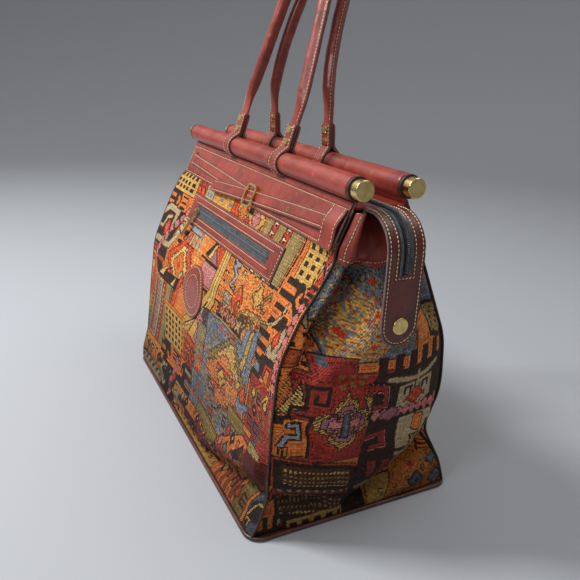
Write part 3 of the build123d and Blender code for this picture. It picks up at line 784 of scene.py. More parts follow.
def weave_left_edge(loom):
    """Red leaf at the left seam, and the leaning khaki stripes below it."""
    loom.polygon("red", [(-252, 196), (-222, 200), (-216, 220), (-236, 262), (-252, 275)])
    loom.polygon("gold", [(-252, 206), (-232, 208), (-244, 240), (-252, 250)])
    loom.polygon("pink", [(-252, 222), (-242, 222), (-250, 246), (-252, 246)])
    lean = -0.36
    stripe_yarns = ("khaki", "pink", "stone", "red", "khaki", "olive")
    loom.leaning_stripes(stripe_yarns, -218, 218, 336, (21, 15, 20, 15, 22, 8), lean)
    for y in np.arange(226, 334, 9):
        shift = lean * (y - 218)
        loom.diamond("rust", -190 + shift, y, 3.4, 4.2, 1.5)
        loom.diamond("cream", -155 + shift, y, 3.0, 4.0, 1.5)
        loom.block("olive", -214 + shift, y, -206 + shift, y + 4)
        loom.block("mist", -178 + shift, y, -170 + shift, y + 5)
    loom.polygon("red", [(-116, 222), (-98, 216), (-112, 252), (-128, 252)])
    loom.block("orange", -252, 337, -172, 376)
    loom.stripes(("gold", "orange"), -252, 345, -180, 352, 9)
    loom.speckle("gold", -252, 337, -172, 376, 0.2, 8)
    loom.block("stone", -252, 376, -120, 396)
    loom.checks("steel", -250, 380, -130, 396, 18, 9)
    loom.block("brown", -252, 372, -150, 377)


def weave_lower_left(loom):
    """The second check field, and the combs and hooks below it."""
    loom.block("orange", -160, 246, -60, 256)
    check_field(loom, -152, 252, -66, 310)
    loom.block("orange", -160, 310, -64, 345)
    loom.comb("maroon", -108, -70, 312, 7, 3, 4)
    loom.polygon("ink", [(-158, 311), (-120, 311), (-118, 330), (-134, 346), (-148, 346), (-144, 324)])
    loom.comb("ink", -144, -166, 318, 16, 3, 8)
    loom.line("orange", [(-132, 330), (-126, 338), (-106, 340)], 5)
    loom.block("ink", -140, 344, -72, 396)
    ram_horn(loom, -124, 370, 18, -1)
    ram_horn(loom, -70, 370, 18, 1)
    loom.chain("pink", "ink", (-86, 322), (-100, 398), 7, 10)
    loom.polygon("ink", [(-62, 318), (-44, 309), (-14, 309), (-14, 316), (-36, 320), (-46, 352), (-76, 352)])
    loom.line("orange", [(-86, 336), (-62, 340), (-60, 330)], 4)
    loom.comb("ink", -46, -14, 326, 18, 4, 8)
    loom.block("slate", -44, 336, -12, 343)
    loom.block("orange", -44, 356, -14, 362)
    loom.block("stone", -46, 318, -16, 325)


def weave_middle(loom):
    """Pale blocks, sail and gold path between the pocket and the patch."""
    loom.block("mist", -128, 112, -78, 124)
    loom.checks("slate", -128, 110, -62, 142, 17, 11, 0.66)
    loom.checks("stone", -110, 122, -66, 142, 13, 12, 0.6)
    loom.block("stone", -108, 124, -100, 156)
    loom.crosses("orange", [(-92, 118), (-118, 126)], 3)
    loom.block("red", -124, 145, -84, 150)
    loom.checks("straw", -70, 112, -50, 200, 11, 13, 0.5)
    loom.polygon("ink", [(-44, 138), (-22, 114), (-16, 114), (-30, 140)])
    loom.polygon("straw", [(-30, 140), (-18, 118), (-12, 116), (-16, 140)])
    loom.flower("red", 8, 128, 19, 4)
    loom.polygon("mauve", [(-14, 122), (12, 143), (-18, 143)])
    loom.block("ink", -52, 142, 14, 145)
    loom.block("pink", -36, 146, 16, 176)
    loom.checks("stone", -34, 148, 14, 176, 12, 9, 0.55)
    loom.speckle("mauve", -36, 146, 16, 176, 0.25, 12)
    loom.block("ink", -12, 178, 12, 182)
    loom.checks("brown", -20, 182, 14, 200, 10, 9, 0.5)
    path = [(26, 108), (26, 182), (-12, 224), (-58, 252)]
    loom.line("gold", path, 20)
    loom.line("straw", path, 6)
    for y in range(116, 188, 21):
        key_fret(loom, "ink", 38, y + 9, 9)
        loom.line("ink", [(37, y), (50, y)], 2.4)
    loom.line("ink", [(36, 110), (36, 188), (10, 222)], 2.2)
    loom.line("ink", [(16, 190), (-26, 232), (-66, 254)], 2.2)
    for x, y in ((4, 226), (-16, 240), (-38, 252)):
        key_fret(loom, "ink", x, y, 7)
    loom.polygon("brown", [(6, 200), (50, 198), (52, 226), (-2, 222)])
    loom.hatched("ink", 4, 202, 50, 224, 5)
    loom.block("ink", -12, 224, 52, 228)
    loom.polygon("pink", [(-44, 262), (-8, 214), (8, 220), (-10, 270)])
    loom.polygon("gold", [(-42, 260), (-14, 226), (-6, 236), (-20, 262)])
    loom.polygon("red", [(-70, 310), (-40, 260), (-8, 266), (-4, 310)])
    for row in range(4):
        loom.zigzag("straw", -64 + 5 * row, -10, 276 + 9 * row, 8, 13, 2.4)
    loom.checks("rust", -54, 262, -8, 310, 8, 9, 0.5)


def weave_orange_field(loom):
    """Orange field under the pocket's right half, with its red diamond and wedge."""
    loom.block("orange", 52, 110, 192, 166)
    loom.speckle("gold", 52, 110, 192, 166, 0.16, 21)
    loom.outlined("mist", "stone", [(58, 118), (74, 120), (60, 126), (76, 134), (66, 148), (80, 150)], 5, 0.8)
    loom.block("stone", 58, 158, 84, 172)
    loom.checks("slate", 58, 158, 88, 176, 9, 7, 0.55)
    for x, y, size in ((94, 125, 5), (142, 125, 5), (120, 119, 4)):
        dart(loom, x, y, size)
    loom.flower("gold", 148, 138, 11, 3)
    loom.flower("olive", 174, 138, 12, 3)
    loom.flower("orange", 174, 138, 6, 3)
    loom.diamond("red", 100, 160, 17, 21, 3)
    loom.diamond("rust", 106, 166, 8, 10, 3)
    loom.polygon("olive", [(112, 176), (126, 158), (200, 150), (200, 166), (140, 178)])
    loom.polygon("brown", [(116, 178), (128, 164), (196, 158), (196, 163), (140, 182)])
    loom.line("orange", [(118, 166), (130, 157), (200, 148)], 3)
    loom.block("ink", 46, 176, 136, 200)
    loom.block("brown", 50, 179, 134, 193)
    for x in (66, 84, 102):
        for colour, half in (("pink", 8), ("ink", 5), ("stone", 2)):
            loom.diamond(colour, x, 186, half, half, 1.6)
    loom.line("stone", [(112, 180), (126, 192)], 2.4)
    loom.line("stone", [(126, 180), (112, 192)], 2.4)
    loom.block("khaki", 34, 198, 140, 202)
    loom.dashes("gold", 40, 108, 196, 200, 0.16, 60)
    loom.dashes("rust", 40, 108, 196, 200, 0.12, 61)


def weave_slate_field(loom):
    """Slate-blue field with red crosses and the stepped orange medallion."""
    loom.block("slate", 24, 202, 178, 346)
    loom.block("slate", -14, 300, 30, 352)
    loom.block("khaki", -4, 226, 26, 276)
    loom.speckle("steel", -14, 202, 178, 352, 0.34, 31)
    loom.speckle("khaki", -14, 226, 178, 352, 0.1, 32)
    loom.polygon("slate", [(124, 244), (150, 178), (164, 172), (140, 246)])
    loom.polygon("gold", [(134, 250), (164, 176), (176, 170), (150, 250)])
    loom.polygon("slate", [(148, 250), (176, 168), (192, 164), (166, 244)])
    loom.speckle("steel", 124, 164, 192, 250, 0.14, 33)
    crosses = [(70, 208), (94, 206), (114, 204), (24, 252), (20, 272), (10, 294), (16, 316)]
    crosses += [(-4, 336), (18, 336), (44, 344), (68, 344)]
    loom.crosses("red", crosses, 6)
    loom.crosses("maroon", crosses, 2)
    loom.diamond("orange", 104, 220, 15, 8, 3)
    loom.diamond("olive", 112, 254, 66, 48, 6)
    loom.diamond("gold", 112, 250, 46, 36, 6)
    loom.diamond("orange", 104, 268, 62, 34, 6)
    loom.block("red", 78, 252, 134, 259)
    loom.flower("gold", 98, 266, 11, 3)
    loom.cross("ink", 98, 266, 4)
    loom.block("red", 66, 279, 96, 290)
    loom.block("red", 100, 277, 116, 283)
    loom.line("ink", [(66, 284), (56, 284), (56, 298), (84, 294)], 3.4)
    loom.line("ink", [(118, 292), (134, 290), (134, 280)], 3.4)
    loom.line("ink", [(84, 296), (84, 306), (66, 306), (78, 318), (96, 310), (104, 302)], 4)
    loom.polygon("orange", [(82, 282), (98, 282), (92, 312), (82, 306)])
    loom.block("red", 58, 326, 82, 333)
    loom.polygon("slate", [(112, 312), (124, 298), (150, 292), (160, 310), (130, 330), (90, 342)])
    loom.speckle("ink", 126, 300, 160, 330, 0.3, 34)
    loom.dashes("khaki", 28, 196, 192, 346, 0.2, 57)
    loom.dashes("steel", 28, 196, 192, 346, 0.14, 58)
    loom.dashes("orange", 28, 240, 192, 346, 0.12, 59)


def weave_right_edge(loom):
    """Khaki stripes past the pocket, then the checks, combs and hooks at the right seam."""
    loom.block("stone", -128, 34, -96, 70)
    loom.checks("slate", -124, 40, -96, 70, 13, 10, 0.6)
    loom.block("gold", -96, 34, -20, 70)
    loom.checks("orange", -96, 34, -20, 70, 19, 9, 0.55)
    loom.checks("slate", -70, 58, -8, 70, 34, 12, 0.4)
    loom.block("red", -20, 34, 84, 70)
    loom.flower("gold", 20, 56, 17, 4)
    loom.flower("orange", 20, 58, 8, 4)
    loom.flower("gold", 62, 58, 20, 4)
    loom.flower("pink", 62, 60, 9, 4)
    loom.block("ink", 34, 48, 48, 56)
    arrow_stripe(loom, 92, 34, 118, 19, -0.16)
    loom.polygon("khaki", [(172, 34), (188, 34), (180, 114), (160, 114)])
    loom.line("ink", [(191, 34), (183, 116), (160, 116)], 3)
    loom.polygon("orange", [(193, 34), (252, 34), (252, 130), (176, 160), (184, 116)])
    check_field(loom, 199, 46, 240, 96)
    loom.line("red", [(250, 50), (242, 62), (250, 74), (240, 92), (250, 104)], 5)
    loom.line("pink", [(252, 56), (246, 66), (252, 80)], 3)
    for bar in ((192, 94, 226, 102), (188, 109, 230, 117), (194, 124, 222, 131), (192, 141, 206, 150)):
        loom.block("ink", *bar)
    loom.polygon("ink", [(214, 95), (230, 94), (240, 110), (238, 130), (222, 116)])
    loom.line("orange", [(230, 104), (227, 110), (236, 116)], 4)
    loom.comb("ink", 250, 236, 88, 9, 3, 4)
    loom.line("stone", [(218, 122), (216, 138), (200, 152), (182, 156)], 2.6)
    loom.polygon("ink", [(222, 132), (206, 152), (236, 150), (230, 132)])
    loom.polygon("stone", [(222, 160), (236, 138), (240, 176), (226, 184), (212, 176)])
    loom.diamond("red", 226, 160, 7, 12, 2)
    loom.chain("pink", "ink", (242, 108), (244, 226), 9, 8)
    loom.comb("ink", 212, 184, 158, 15, 3, 8)
    loom.polygon("ink", [(206, 182), (240, 178), (238, 192), (216, 196), (200, 224), (176, 226), (178, 214)])
    loom.block("slate", 186, 198, 200, 208)
    loom.outlined("red", "pink", [(214, 206), (220, 192), (236, 190), (232, 208)], 4, 1)


def weave_lower_right(loom):
    """Crimson and olive leaves, stepped orange bands and the dark hooks at the foot."""
    loom.block("crimson", 182, 216, 252, 336)
    loom.speckle("rust", 182, 216, 252, 336, 0.22, 41)
    loom.polygon("olive", [(196, 236), (216, 214), (206, 250)])
    loom.polygon("gold", [(222, 232), (238, 212), (236, 246)])
    loom.checks("olive", 186, 232, 250, 262, 14, 10, 0.5)
    loom.line("red", [(196, 230), (220, 214), (240, 220)], 4)
    loom.polygon("slate", [(150, 276), (156, 258), (190, 262), (176, 274)])
    loom.polygon("red", [(158, 254), (170, 238), (176, 262), (162, 266)])
    key_fret(loom, "steel", 204, 284, 16)
    loom.block("khaki", 206, 292, 240, 304)
    loom.block("olive", 130, 284, 186, 306)
    loom.checks("rust", 134, 278, 186, 290, 10, 12, 0.5)
    loom.block("orange", 180, 284, 206, 292)
    loom.polygon("orange", [(150, 318), (180, 300), (204, 300), (196, 336), (140, 346), (100, 350)])
    loom.polygon("ink", [(160, 336), (196, 302), (200, 322), (176, 334)])
    loom.polygon("maroon", [(204, 302), (252, 296), (252, 336), (210, 330)])
    loom.block("rust", 96, 340, 252, 352)
    loom.stepped_edge("olive", 20, 120, 350, 12, 26)
    loom.block("maroon", -14, 366, 120, 380)
    loom.stepped_edge("crimson", 30, 130, 366, 9, 22)
    loom.block("orange", 112, 352, 218, 398)
    loom.block("gold", -40, 380, 112, 398)
    loom.checks("rust", -30, 382, 110, 398, 15, 9, 0.5)
    loom.block("olive", 190, 352, 216, 398)
    loom.outlined("rust", "brown", [(128, 396), (128, 372), (146, 372), (146, 386)], 4, 1.5)
    loom.outlined("rust", "brown", [(160, 396), (160, 366), (178, 366), (178, 384)], 4, 1.5)
    loom.polygon("steel", [(222, 348), (252, 340), (252, 398), (224, 398)])
    loom.polygon("ink", [(224, 360), (244, 346), (252, 352), (252, 372), (226, 384)])
    loom.line("straw", [(224, 378), (236, 356), (252, 350)], 2)
    key_fret(loom, "straw", 226, 386, 7)


def weave_front(loom):
    """The whole front cloth. Places are across the wall and down from its top edge."""
    loom.speckle("gold", -260, 30, 260, 400, 0.06, 2)
    weave_upper_left(loom)
    weave_left_edge(loom)
    weave_middle(loom)
    weave_orange_field(loom)
    weave_slate_field(loom)
    weave_lower_left(loom)
    weave_right_edge(loom)
    weave_lower_right(loom)
    small_motifs(loom, 112, 306, 222, 396, 19, 31)
    small_motifs(loom, -40, 350, 112, 396, 17, 32)
    small_motifs(loom, -246, 344, -60, 396, 19, 33)
    small_motifs(loom, 186, 226, 246, 292, 18, 34)


def weave_gusset_top(loom):
    """Slate field with red crosses that turns to gold lower down."""
    loom.block("slate", -140, -400, 140, -222)
    loom.speckle("steel", -140, -400, 140, -222, 0.34, 51)
    loom.dashes("khaki", -130, -345, 60, -225, 0.22, 53)
    loom.dashes("brown", -130, -345, 60, -225, 0.2, 54)
    for row in range(7):
        for column in range(9):
            loom.cross("red", -112 + 21 * column + 10 * (row % 2), -328 + 15 * row, 3.4)
    tongue = [(-64, -222), (-58, -262), (-34, -276), (-22, -292), (-10, -280), (-2, -240), (-20, -222)]
    loom.polygon("gold", tongue, False)
    loom.dashes("slate", -72, -296, 16, -216, 0.34, 55)
    loom.dashes("rust", -72, -296, 16, -216, 0.2, 56)
    loom.crosses("red", [(-40, -284), (-14, -270), (-46, -248), (-22, -240)], 4)
    loom.block("orange", -140, -262, -66, -196)
    loom.checks("ink", -112, -252, -70, -200, 13, 11, 0.45)
    loom.block("rust", -112, -232, -88, -212)
    loom.stepped_edge("khaki", -110, -80, -262, 10, 14)
    loom.block("orange", 34, -262, 140, -196)
    loom.speckle("gold", 34, -262, 140, -196, 0.16, 52)
    loom.polygon("ink", [(56, -264), (104, -272), (112, -232), (88, -222), (64, -232)])
    loom.polygon("khaki", [(62, -260), (98, -266), (104, -234), (88, -228), (68, -236)])
    loom.checks("ink", 66, -258, 102, -232, 9, 6, 0.4)
    loom.line("crimson", [(36, -246), (42, -196), (44, -170)], 3)
    loom.block("crimson", -80, -226, -36, -206)
    loom.checks("steel", -74, -230, -60, -206, 16, 22, 0.5)


def weave_gusset_flower(loom):
    """Crimson field with the stepped gold flower, and the key frets beside it."""
    loom.block("crimson", -96, -210, 22, -92)
    loom.speckle("red", -96, -210, 22, -92, 0.2, 61)
    loom.checks("olive", -54, -208, -24, -190, 12, 9, 0.5)
    flower_x, flower_y = -44, -150
    loom.diamond("gold", flower_x, flower_y, 9, 42, 5)
    loom.rosette("gold", flower_x, flower_y, 19, 14)
    petals = loom.yarn == yarn_index["gold"]
    loom.hatch("brown", petals & loom.inside(-80, -196, -8, -104), 4.7)
    loom.rosette("mauve", flower_x, flower_y, 15, 10)
    loom.rosette("pink", flower_x, flower_y, 12, 6.5)
    loom.block("steel", flower_x - 4, flower_y - 14, flower_x + 4, flower_y + 16)
    loom.polygon("gold", [(-26, -182), (-8, -176), (-6, -150), (-14, -156)])
    loom.hatched("brown", -28, -184, -4, -150, 4.7)
    loom.polygon("straw", [(-112, -160), (-88, -198), (-86, -166)])
    loom.hatched("brown", -114, -200, -84, -158, 4.7, -1)
    loom.line("ink", [(-84, -196), (-66, -196), (-66, -176), (-76, -176), (-76, -186)], 4)
    loom.line("ink", [(-84, -196), (-84, -170), (-98, -170), (-98, -156), (-112, -156)], 4)
    loom.line("crimson", [(-79, -191), (-79, -171)], 2)
    loom.block("orange", -112, -152, -78, -106)
    loom.line("ink", [(-90, -158), (-78, -158), (-78, -104)], 4)
    loom.outlined("mist", "rust", [(-106, -120), (-100, -132), (-88, -130), (-88, -144), (-98, -146)], 5, 1)
    key_fret(loom, "ink", -108, -110, 9)
    loom.block("ink", -114, -156, -104, -148)


def weave_gusset_panels(loom):
    """Dark panels with gold threads, and the arrow bands between them."""
    lean = 0.26
    for top, height in ((-104, 38), (-58, 40), (-16, 34)):
        corner = [(-112, top), (-12, top + lean * 100), (-12, top + height + lean * 90), (-112, top + height)]
        loom.polygon("rust", [(x * 1.02, y - 3) for x, y in corner])
        loom.polygon("ink", corner)
        inner = [(-104, top + 7), (-20, top + 6 + lean * 90), (-20, top + height - 7 + lean * 82)]
        inner.append((-104, top + height - 9))
        loom.polygon("brown", inner)
        for row in range(4):
            y = top + 11 + row * 5.5
            for x in np.arange(-102, -22, 5.4):
                fall = lean * (x + 110)
                loom.block("khaki" if row % 3 else "straw", x, y + fall, x + 3, y + 2 + fall)
        loom.polygon("ink", [(-72, top + 8), (-58, top + 8), (-64, top + 17)])
    for top in (-62, -18):
        low = top + 4 + lean * 100
        loom.polygon("crimson", [(-112, top - 4), (-10, top - 6 + lean * 100), (-10, low), (-112, top + 6)])
        for x in np.arange(-108, -16, 11):
            y = top + 1 + lean * (x + 110)
            loom.polygon("stone", [(x, y - 4), (x + 6, y - 4), (x + 10, y + 1), (x + 4, y + 4)])
    loom.block("orange", -140, -46, -108, 0)
    loom.upright_comb("ink", -8, -26, -134, 12, 4, 6)
    loom.block("ink", -140, -10, -90, 0)
    check_field(loom, -92, -14, -20, 0)


def weave_gusset_combs(loom):
    """The dark comb medallion with its stone horns, red star and pink chain."""
    loom.block("ink", -14, -206, 112, -78)
    loom.upright_comb("ink", -200, -226, -14, 21, 6, 12)
    loom.upright_comb("ink", -84, -54, -12, 19, 6, 11)
    loom.block("crimson", -2, -82, 8, -56)
    loom.block("crimson", 17, -82, 26, -54)
    loom.block("orange", 55, -82, 64, -54)
    loom.block("orange", 36, -82, 45, -54)
    loom.outlined("crimson", "pink", [(-16, -188), (2, -184), (4, -164), (-8, -162)], 6, 1)
    loom.outlined("crimson", "pink", [(-14, -120), (10, -122), (14, -104), (0, -102)], 6, 1)
    loom.outlined("stone", "brown", [(6, -196), (36, -190), (62, -190), (84, -196)], 6)
    loom.block("stone", 20, -184, 76, -156)
    loom.polygon("stone", [(20, -160), (76, -160), (62, -150), (34, -150)])
    for left in (27, 56):
        loom.block("ink", left, -181, left + 13, -170)
        loom.block("stone", left + 4, -178, left + 9, -170)
    loom.line("stone", [(48, -196), (48, -160)], 4)
    for x in (44, 52):
        loom.line("ink", [(x, -184), (x, -168)], 2)
    loom.flower("red", 48, -164, 9, 3)
    loom.line("red", [(32, -162), (48, -168), (64, -162)], 3)
    loom.chain("pink", "ink", (-12, -152), (96, -144), 10, 9)
    loom.diamond("mauve", 14, -149, 13, 9, 2)
    loom.block("stone", 30, -138, 80, -96)
    loom.polygon("orange", [(54, -136), (68, -134), (62, -112), (50, -118)])
    loom.line("ink", [(50, -98), (50, -110), (62, -110), (62, -92), (38, -92)], 4)
    loom.line("ink", [(74, -124), (70, -112), (76, -100)], 4)
    loom.outlined("stone", "brown", [(34, -88), (48, -84), (62, -92), (76, -78), (72, -52)], 6)
    loom.block("rust", 16, -52, 64, -40)
    loom.polygon("ink", [(-16, -66), (16, -54), (14, -6), (4, 4), (-16, 4)])
    loom.flower("khaki", 4, -40, 9, 3)


def weave_gusset_foot(loom):
    """Orange and gold field by the rear foot, with small hooks and slate flowers."""
    loom.polygon("orange", [(12, 2), (20, -30), (60, -46), (96, -120), (140, -120), (140, 4)])
    loom.polygon("gold", [(14, 2), (22, -28), (52, -38), (44, -14), (40, 2)])
    loom.speckle("gold", 40, -110, 140, 0, 0.22, 71)
    for x, y in ((34, -14), (52, -20), (70, -26), (92, -36), (108, -24), (46, -6), (66, -8)):
        key_fret(loom, "brown", x, y, 5)
    loom.flower("steel", 86, -22, 9, 3)
    loom.cross("ink", 86, -22, 3)
    loom.flower("slate", 112, -46, 8, 3)
    loom.flower("slate", 122, -14, 9, 3)
    loom.crosses("red", [(100, -60), (78, -44), (118, -30), (98, -10)], 5)
    small_motifs(loom, 50, -112, 132, -50, 17, 35)
    loom.line("straw", [(84, -104), (118, -60), (136, -40)], 4)
    loom.line("ink", [(80, -98), (114, -54), (134, -32)], 3)


def weave_gusset(loom):
    """The side cloth. Places are across the wall and its height counted downwards."""
    weave_gusset_top(loom)
    weave_gusset_flower(loom)
    weave_gusset_panels(loom)
    weave_gusset_combs(loom)
    weave_gusset_foot(loom)


# Cloth meshes


def new_piece(name, content):
    """An object in the scene that shows a mesh, lamp or camera."""
    piece = bpy.data.objects.new(name, content)
    bpy.context.scene.collection.objects.link(piece)
    return piece


def settle(piece, body, slot, *nodes):
    """Puts a piece on its body, in place of the nodes it stands for. The slot is not used."""
    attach(piece, body)
    if nodes:
        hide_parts(*nodes)


def grid_faces(rows, columns, start, flip):
    """Quads of a grid of points stored row by row."""
    places = start + np.arange((rows + 1) * (columns + 1)).reshape(rows + 1, columns + 1)
    corners = [places[:-1, :-1], places[1:, :-1], places[1:, 1:], places[:-1, 1:]]
    if flip:
        corners.reverse()
    return np.stack([corner.ravel() for corner in corners], -1)


def rim_loop(rows, columns, step):
    """Grid places round the edge, every step-th of them, in one turn."""
    loop = [(row, 0) for row in range(0, rows, step)]
    loop += [(rows, column) for column in range(0, columns, step)]
    loop += [(row, columns) for row in range(rows, 0, -step)]
    loop += [(0, column) for column in range(columns, 0, -step)]
    return loop


def grid_normals(points):
    """Unit normals of a grid of points, pointing out of the bag."""
    down = np.gradient(points, axis=0)
    across = np.gradient(points, axis=1)
    return unit(np.cross(down, across))


def knot_shades(shape, seed):
    """Light and dark of single knots, and of whole threads across and along, with painted shade on every
    second row.
    """
    draw = np.random.default_rng(seed)
    shade = 1 + knot_spread * draw.standard_normal(shape)
    shade = shade * (1 + weft_spread * draw.standard_normal((shape[0], 1)))
    # Painted shade on every second row, for the look of ribs
    shade[1::2] *= odd_row_shade
    shade = shade * (1 + warp_spread * draw.standard_normal((1, shape[1])))
    return np.clip(shade, *shade_limits)


def knot_colours(loom, height, seed):
    """Colour of every knot: its yarn, the warp that shows through, and painted shade with some dirt that
    darkens the cloth towards the foot.
    """
    woven = yarn_colours[loom.yarn].copy()
    draw = np.random.default_rng(seed + 50).random(loom.yarn.shape)
    shown = warp_shown_least + warp_shown_more * draw**2
    woven[..., :3] += (np.array(linear(WARP)[:3]) - woven[..., :3]) * shown[..., None]
    # Painted shade with some dirt, darker towards the foot
    shade_and_dirt = foot_shade_and_dirt + (1 - foot_shade_and_dirt) * smooth_share(height, 0, shade_and_dirt_height)
    woven[..., :3] *= (knot_shades(loom.yarn.shape, seed) * shade_and_dirt)[..., None]
    return woven


def cloth_piece(name, loom, points, material, seed):
    """A woven sheet with a coarser lining side, closed round its rim."""
    loom.outline(seed)
    rows, columns = loom.rows, loom.columns
    points = points + grid_normals(points) * cloth_ripple(points, seed)[..., None]
    lining = points - grid_normals(points) * cloth_thickness
    lining = lining[::lining_step, ::lining_step]
    outer_count = (rows + 1) * (columns + 1)
    faces = grid_faces(rows, columns, 0, False)
    back_rows, back_columns = rows // lining_step, columns // lining_step
    back = grid_faces(back_rows, back_columns, outer_count, True)
    rim = []
    fine = [row * (columns + 1) + column for row, column in rim_loop(rows, columns, 1)]
    coarse = [
        outer_count + (row // lining_step) * (back_columns + 1) + column // lining_step
        for row, column in rim_loop(rows, columns, lining_step)
    ]
    for place, low in enumerate(coarse):
        high = coarse[(place + 1) % len(coarse)]
        edge = [fine[(place * lining_step + k) % len(fine)] for k in range(lining_step + 1)]
        rim.append([low, high] + edge[::-1])
    vertices = np.concatenate([points.reshape(-1, 3), lining.reshape(-1, 3)]) * MM
    mesh = bpy.data.meshes.new(name)
    mesh.from_pydata(vertices.tolist(), [], faces.tolist() + back.tolist() + rim)
    colours = np.ones((len(mesh.polygons), 4))
    colours[:, :3] = linear(LINING_SIDE)[:3]
    colours[: rows * columns] = knot_colours(loom, points[:-1, :-1, 2], seed).reshape(-1, 4)
    attribute = mesh.attributes.new("woven_colour", "FLOAT_COLOR", "FACE")
    attribute.data.foreach_set("color", colours.astype(np.float32).ravel())
    threads = mesh.uv_layers.new(name="threads")
    run = np.empty(len(mesh.loops), np.int32)
    mesh.loops.foreach_get("vertex_index", run)
    row, column = np.divmod(np.minimum(run, outer_count - 1), columns + 1)
    threads.data.foreach_set("uv", np.stack([column, -row], -1).astype(np.float32).ravel())
    mesh.shade_smooth()
    mesh.materials.append(material)
    return new_piece(name, mesh)


def sheet_mesh(name, points, thickness, gaps):
    """A closed sheet from a grid of points on its outer face, rows running down."""
    rows, columns = points.shape[0] - 1, points.shape[1] - 1
    count = points[..., 0].size
    inner = points - grid_normals(points) * thickness
    faces = np.concatenate([grid_faces(rows, columns, 0, False), grid_faces(rows, columns, count, True)])
    rim = [row * (columns + 1) + column for row, column in rim_loop(rows, columns, 1)]
    ends = rim[1:] + rim[:1]
    sides = [(low + count, high + count, high, low) for low, high in zip(rim, ends)]
    mesh = bpy.data.meshes.new(name)
    vertices = np.concatenate([points.reshape(-1, 3), inner.reshape(-1, 3)]) * MM
    mesh.from_pydata(vertices.tolist(), [], faces.tolist() + sides)
    cut = np.zeros(2 * count)
    cut[count:] = 1
    mark_leather(mesh, cut, np.tile(gaps, 2))
    mesh.shade_smooth()
    return mesh


def place_mesh(name, mesh, material, body, slot, *nodes):
    """Puts a finished mesh in the scene on its body, in place of the nodes it stands for."""
    mesh.materials.clear()
    mesh.materials.append(material)
    piece = new_piece(name, mesh)
    settle(piece, body, slot, *nodes)
    return piece


def side_band_edge(across):
    """Height of the side band's lower edge, lowest in the middle."""
    return gusset_top - 4 - 10 * (1 - across**2)


def side_band_piece(side, material, rows):
    """Leather over the top of a side wall, folded in under the tongue."""
    name = ("right" if side > 0 else "left") + "_side_band"
    across, share = np.meshgrid(np.linspace(-side * 0.99, side * 0.99, 150), np.linspace(0, 1, 60))
    height = side_band_top + (side_band_edge(across) - side_band_top) * share
    points = gusset_point(across, height, side_band_face, side)
    flat = points.reshape(-1, 3)
    gaps = row_gaps(flat, rows)
    waves = 0.7 * soft_noise(flat, 30, 7) + 0.25 * soft_noise(flat, 10, 8) - groove_depths(gaps)
    points = points + grid_normals(points) * waves.reshape(across.shape)[..., None]
    mesh = sheet_mesh(name + "_leather", points, side_band_leather, gaps)
    return place_mesh(name + "_leather", mesh, material, "bag", "leather", name)


def end_strip_piece(material, rows):
    """Narrow strip sewn down over the right end of the strap."""
    x = np.linspace(strip_start, strip_end, 30)
    drop = np.linspace(4.5, band_drop - 0.6, 48)
    x, drop = np.meshgrid(x, drop)
    points = slope_point(x, drop, 0) + strip_lift(drop)[..., None] * slope_out
    flat = points.reshape(-1, 3)
    gaps = row_gaps(flat, rows)
    waves = 0.3 * soft_noise(flat, 14, 5) - groove_depths(gaps)
    points = points + waves.reshape(x.shape)[..., None] * slope_out
    mesh = sheet_mesh("strap_end_strip", points, strip_leather, gaps)
    return place_mesh("strap_end_strip", mesh, material, "bag", "leather")


def tube_mesh(name, points, radius, sides=10):
    """A round cord along a line of points, closed at its ends."""
    along = unit(np.gradient(points, axis=0))
    first = unit(np.cross(along, np.array([1.0, 0.2, 0.1])))
    second = np.cross(along, first)
    angles = np.linspace(0, 2 * math.pi, sides, endpoint=False)
    ring = np.cos(angles)[None, :, None] * first[:, None] + np.sin(angles)[None, :, None] * second[:, None]
    return ring_mesh(name, points[:, None] + radius * ring)


def ring_faces(count, sides, inward=False):
    """Quads between rings of points, facing away from their middle or towards it."""
    faces = []
    for ring in range(count - 1):
        for side in range(sides):
            low = ring * sides + side
            high = ring * sides + (side + 1) % sides
            face = (low, high, high + sides, low + sides)
            faces.append(face[:1] + face[:0:-1] if inward else face)
    return faces


def ring_mesh(name, rings):
    """A closed skin through a row of rings of points."""
    count, sides = rings.shape[:2]
    faces = ring_faces(count, sides)
    faces.append(tuple(range(sides - 1, -1, -1)))
    faces.append(tuple(range((count - 1) * sides, count * sides)))
    mesh = bpy.data.meshes.new(name)
    mesh.from_pydata((rings.reshape(-1, 3) * MM).tolist(), [], faces)
    mesh.shade_smooth()
    return mesh


def piping_piece(end, side, material):
    """Thin dark cord in a corner seam."""
    name = f"{'front' if end < 0 else 'rear'}_{'right' if side > 0 else 'left'}_piping"
    height = np.linspace(*seam_cord_ends, 150)
    half = np.interp(height, *front_seam(side)) if end < 0 else rear_half_depth(height)
    x = 0 * height + side * (seam_half + seam_cord_inset)
    points = np.stack([x, end * (half - seam_cord_inset), height], -1)
    if side * end > 0:
        points = points[::-1]
    mesh = tube_mesh(name + "_cord", points, seam_cord_radius)
    return place_mesh(name + "_cord", mesh, material, "bag", "dark_trim", name)


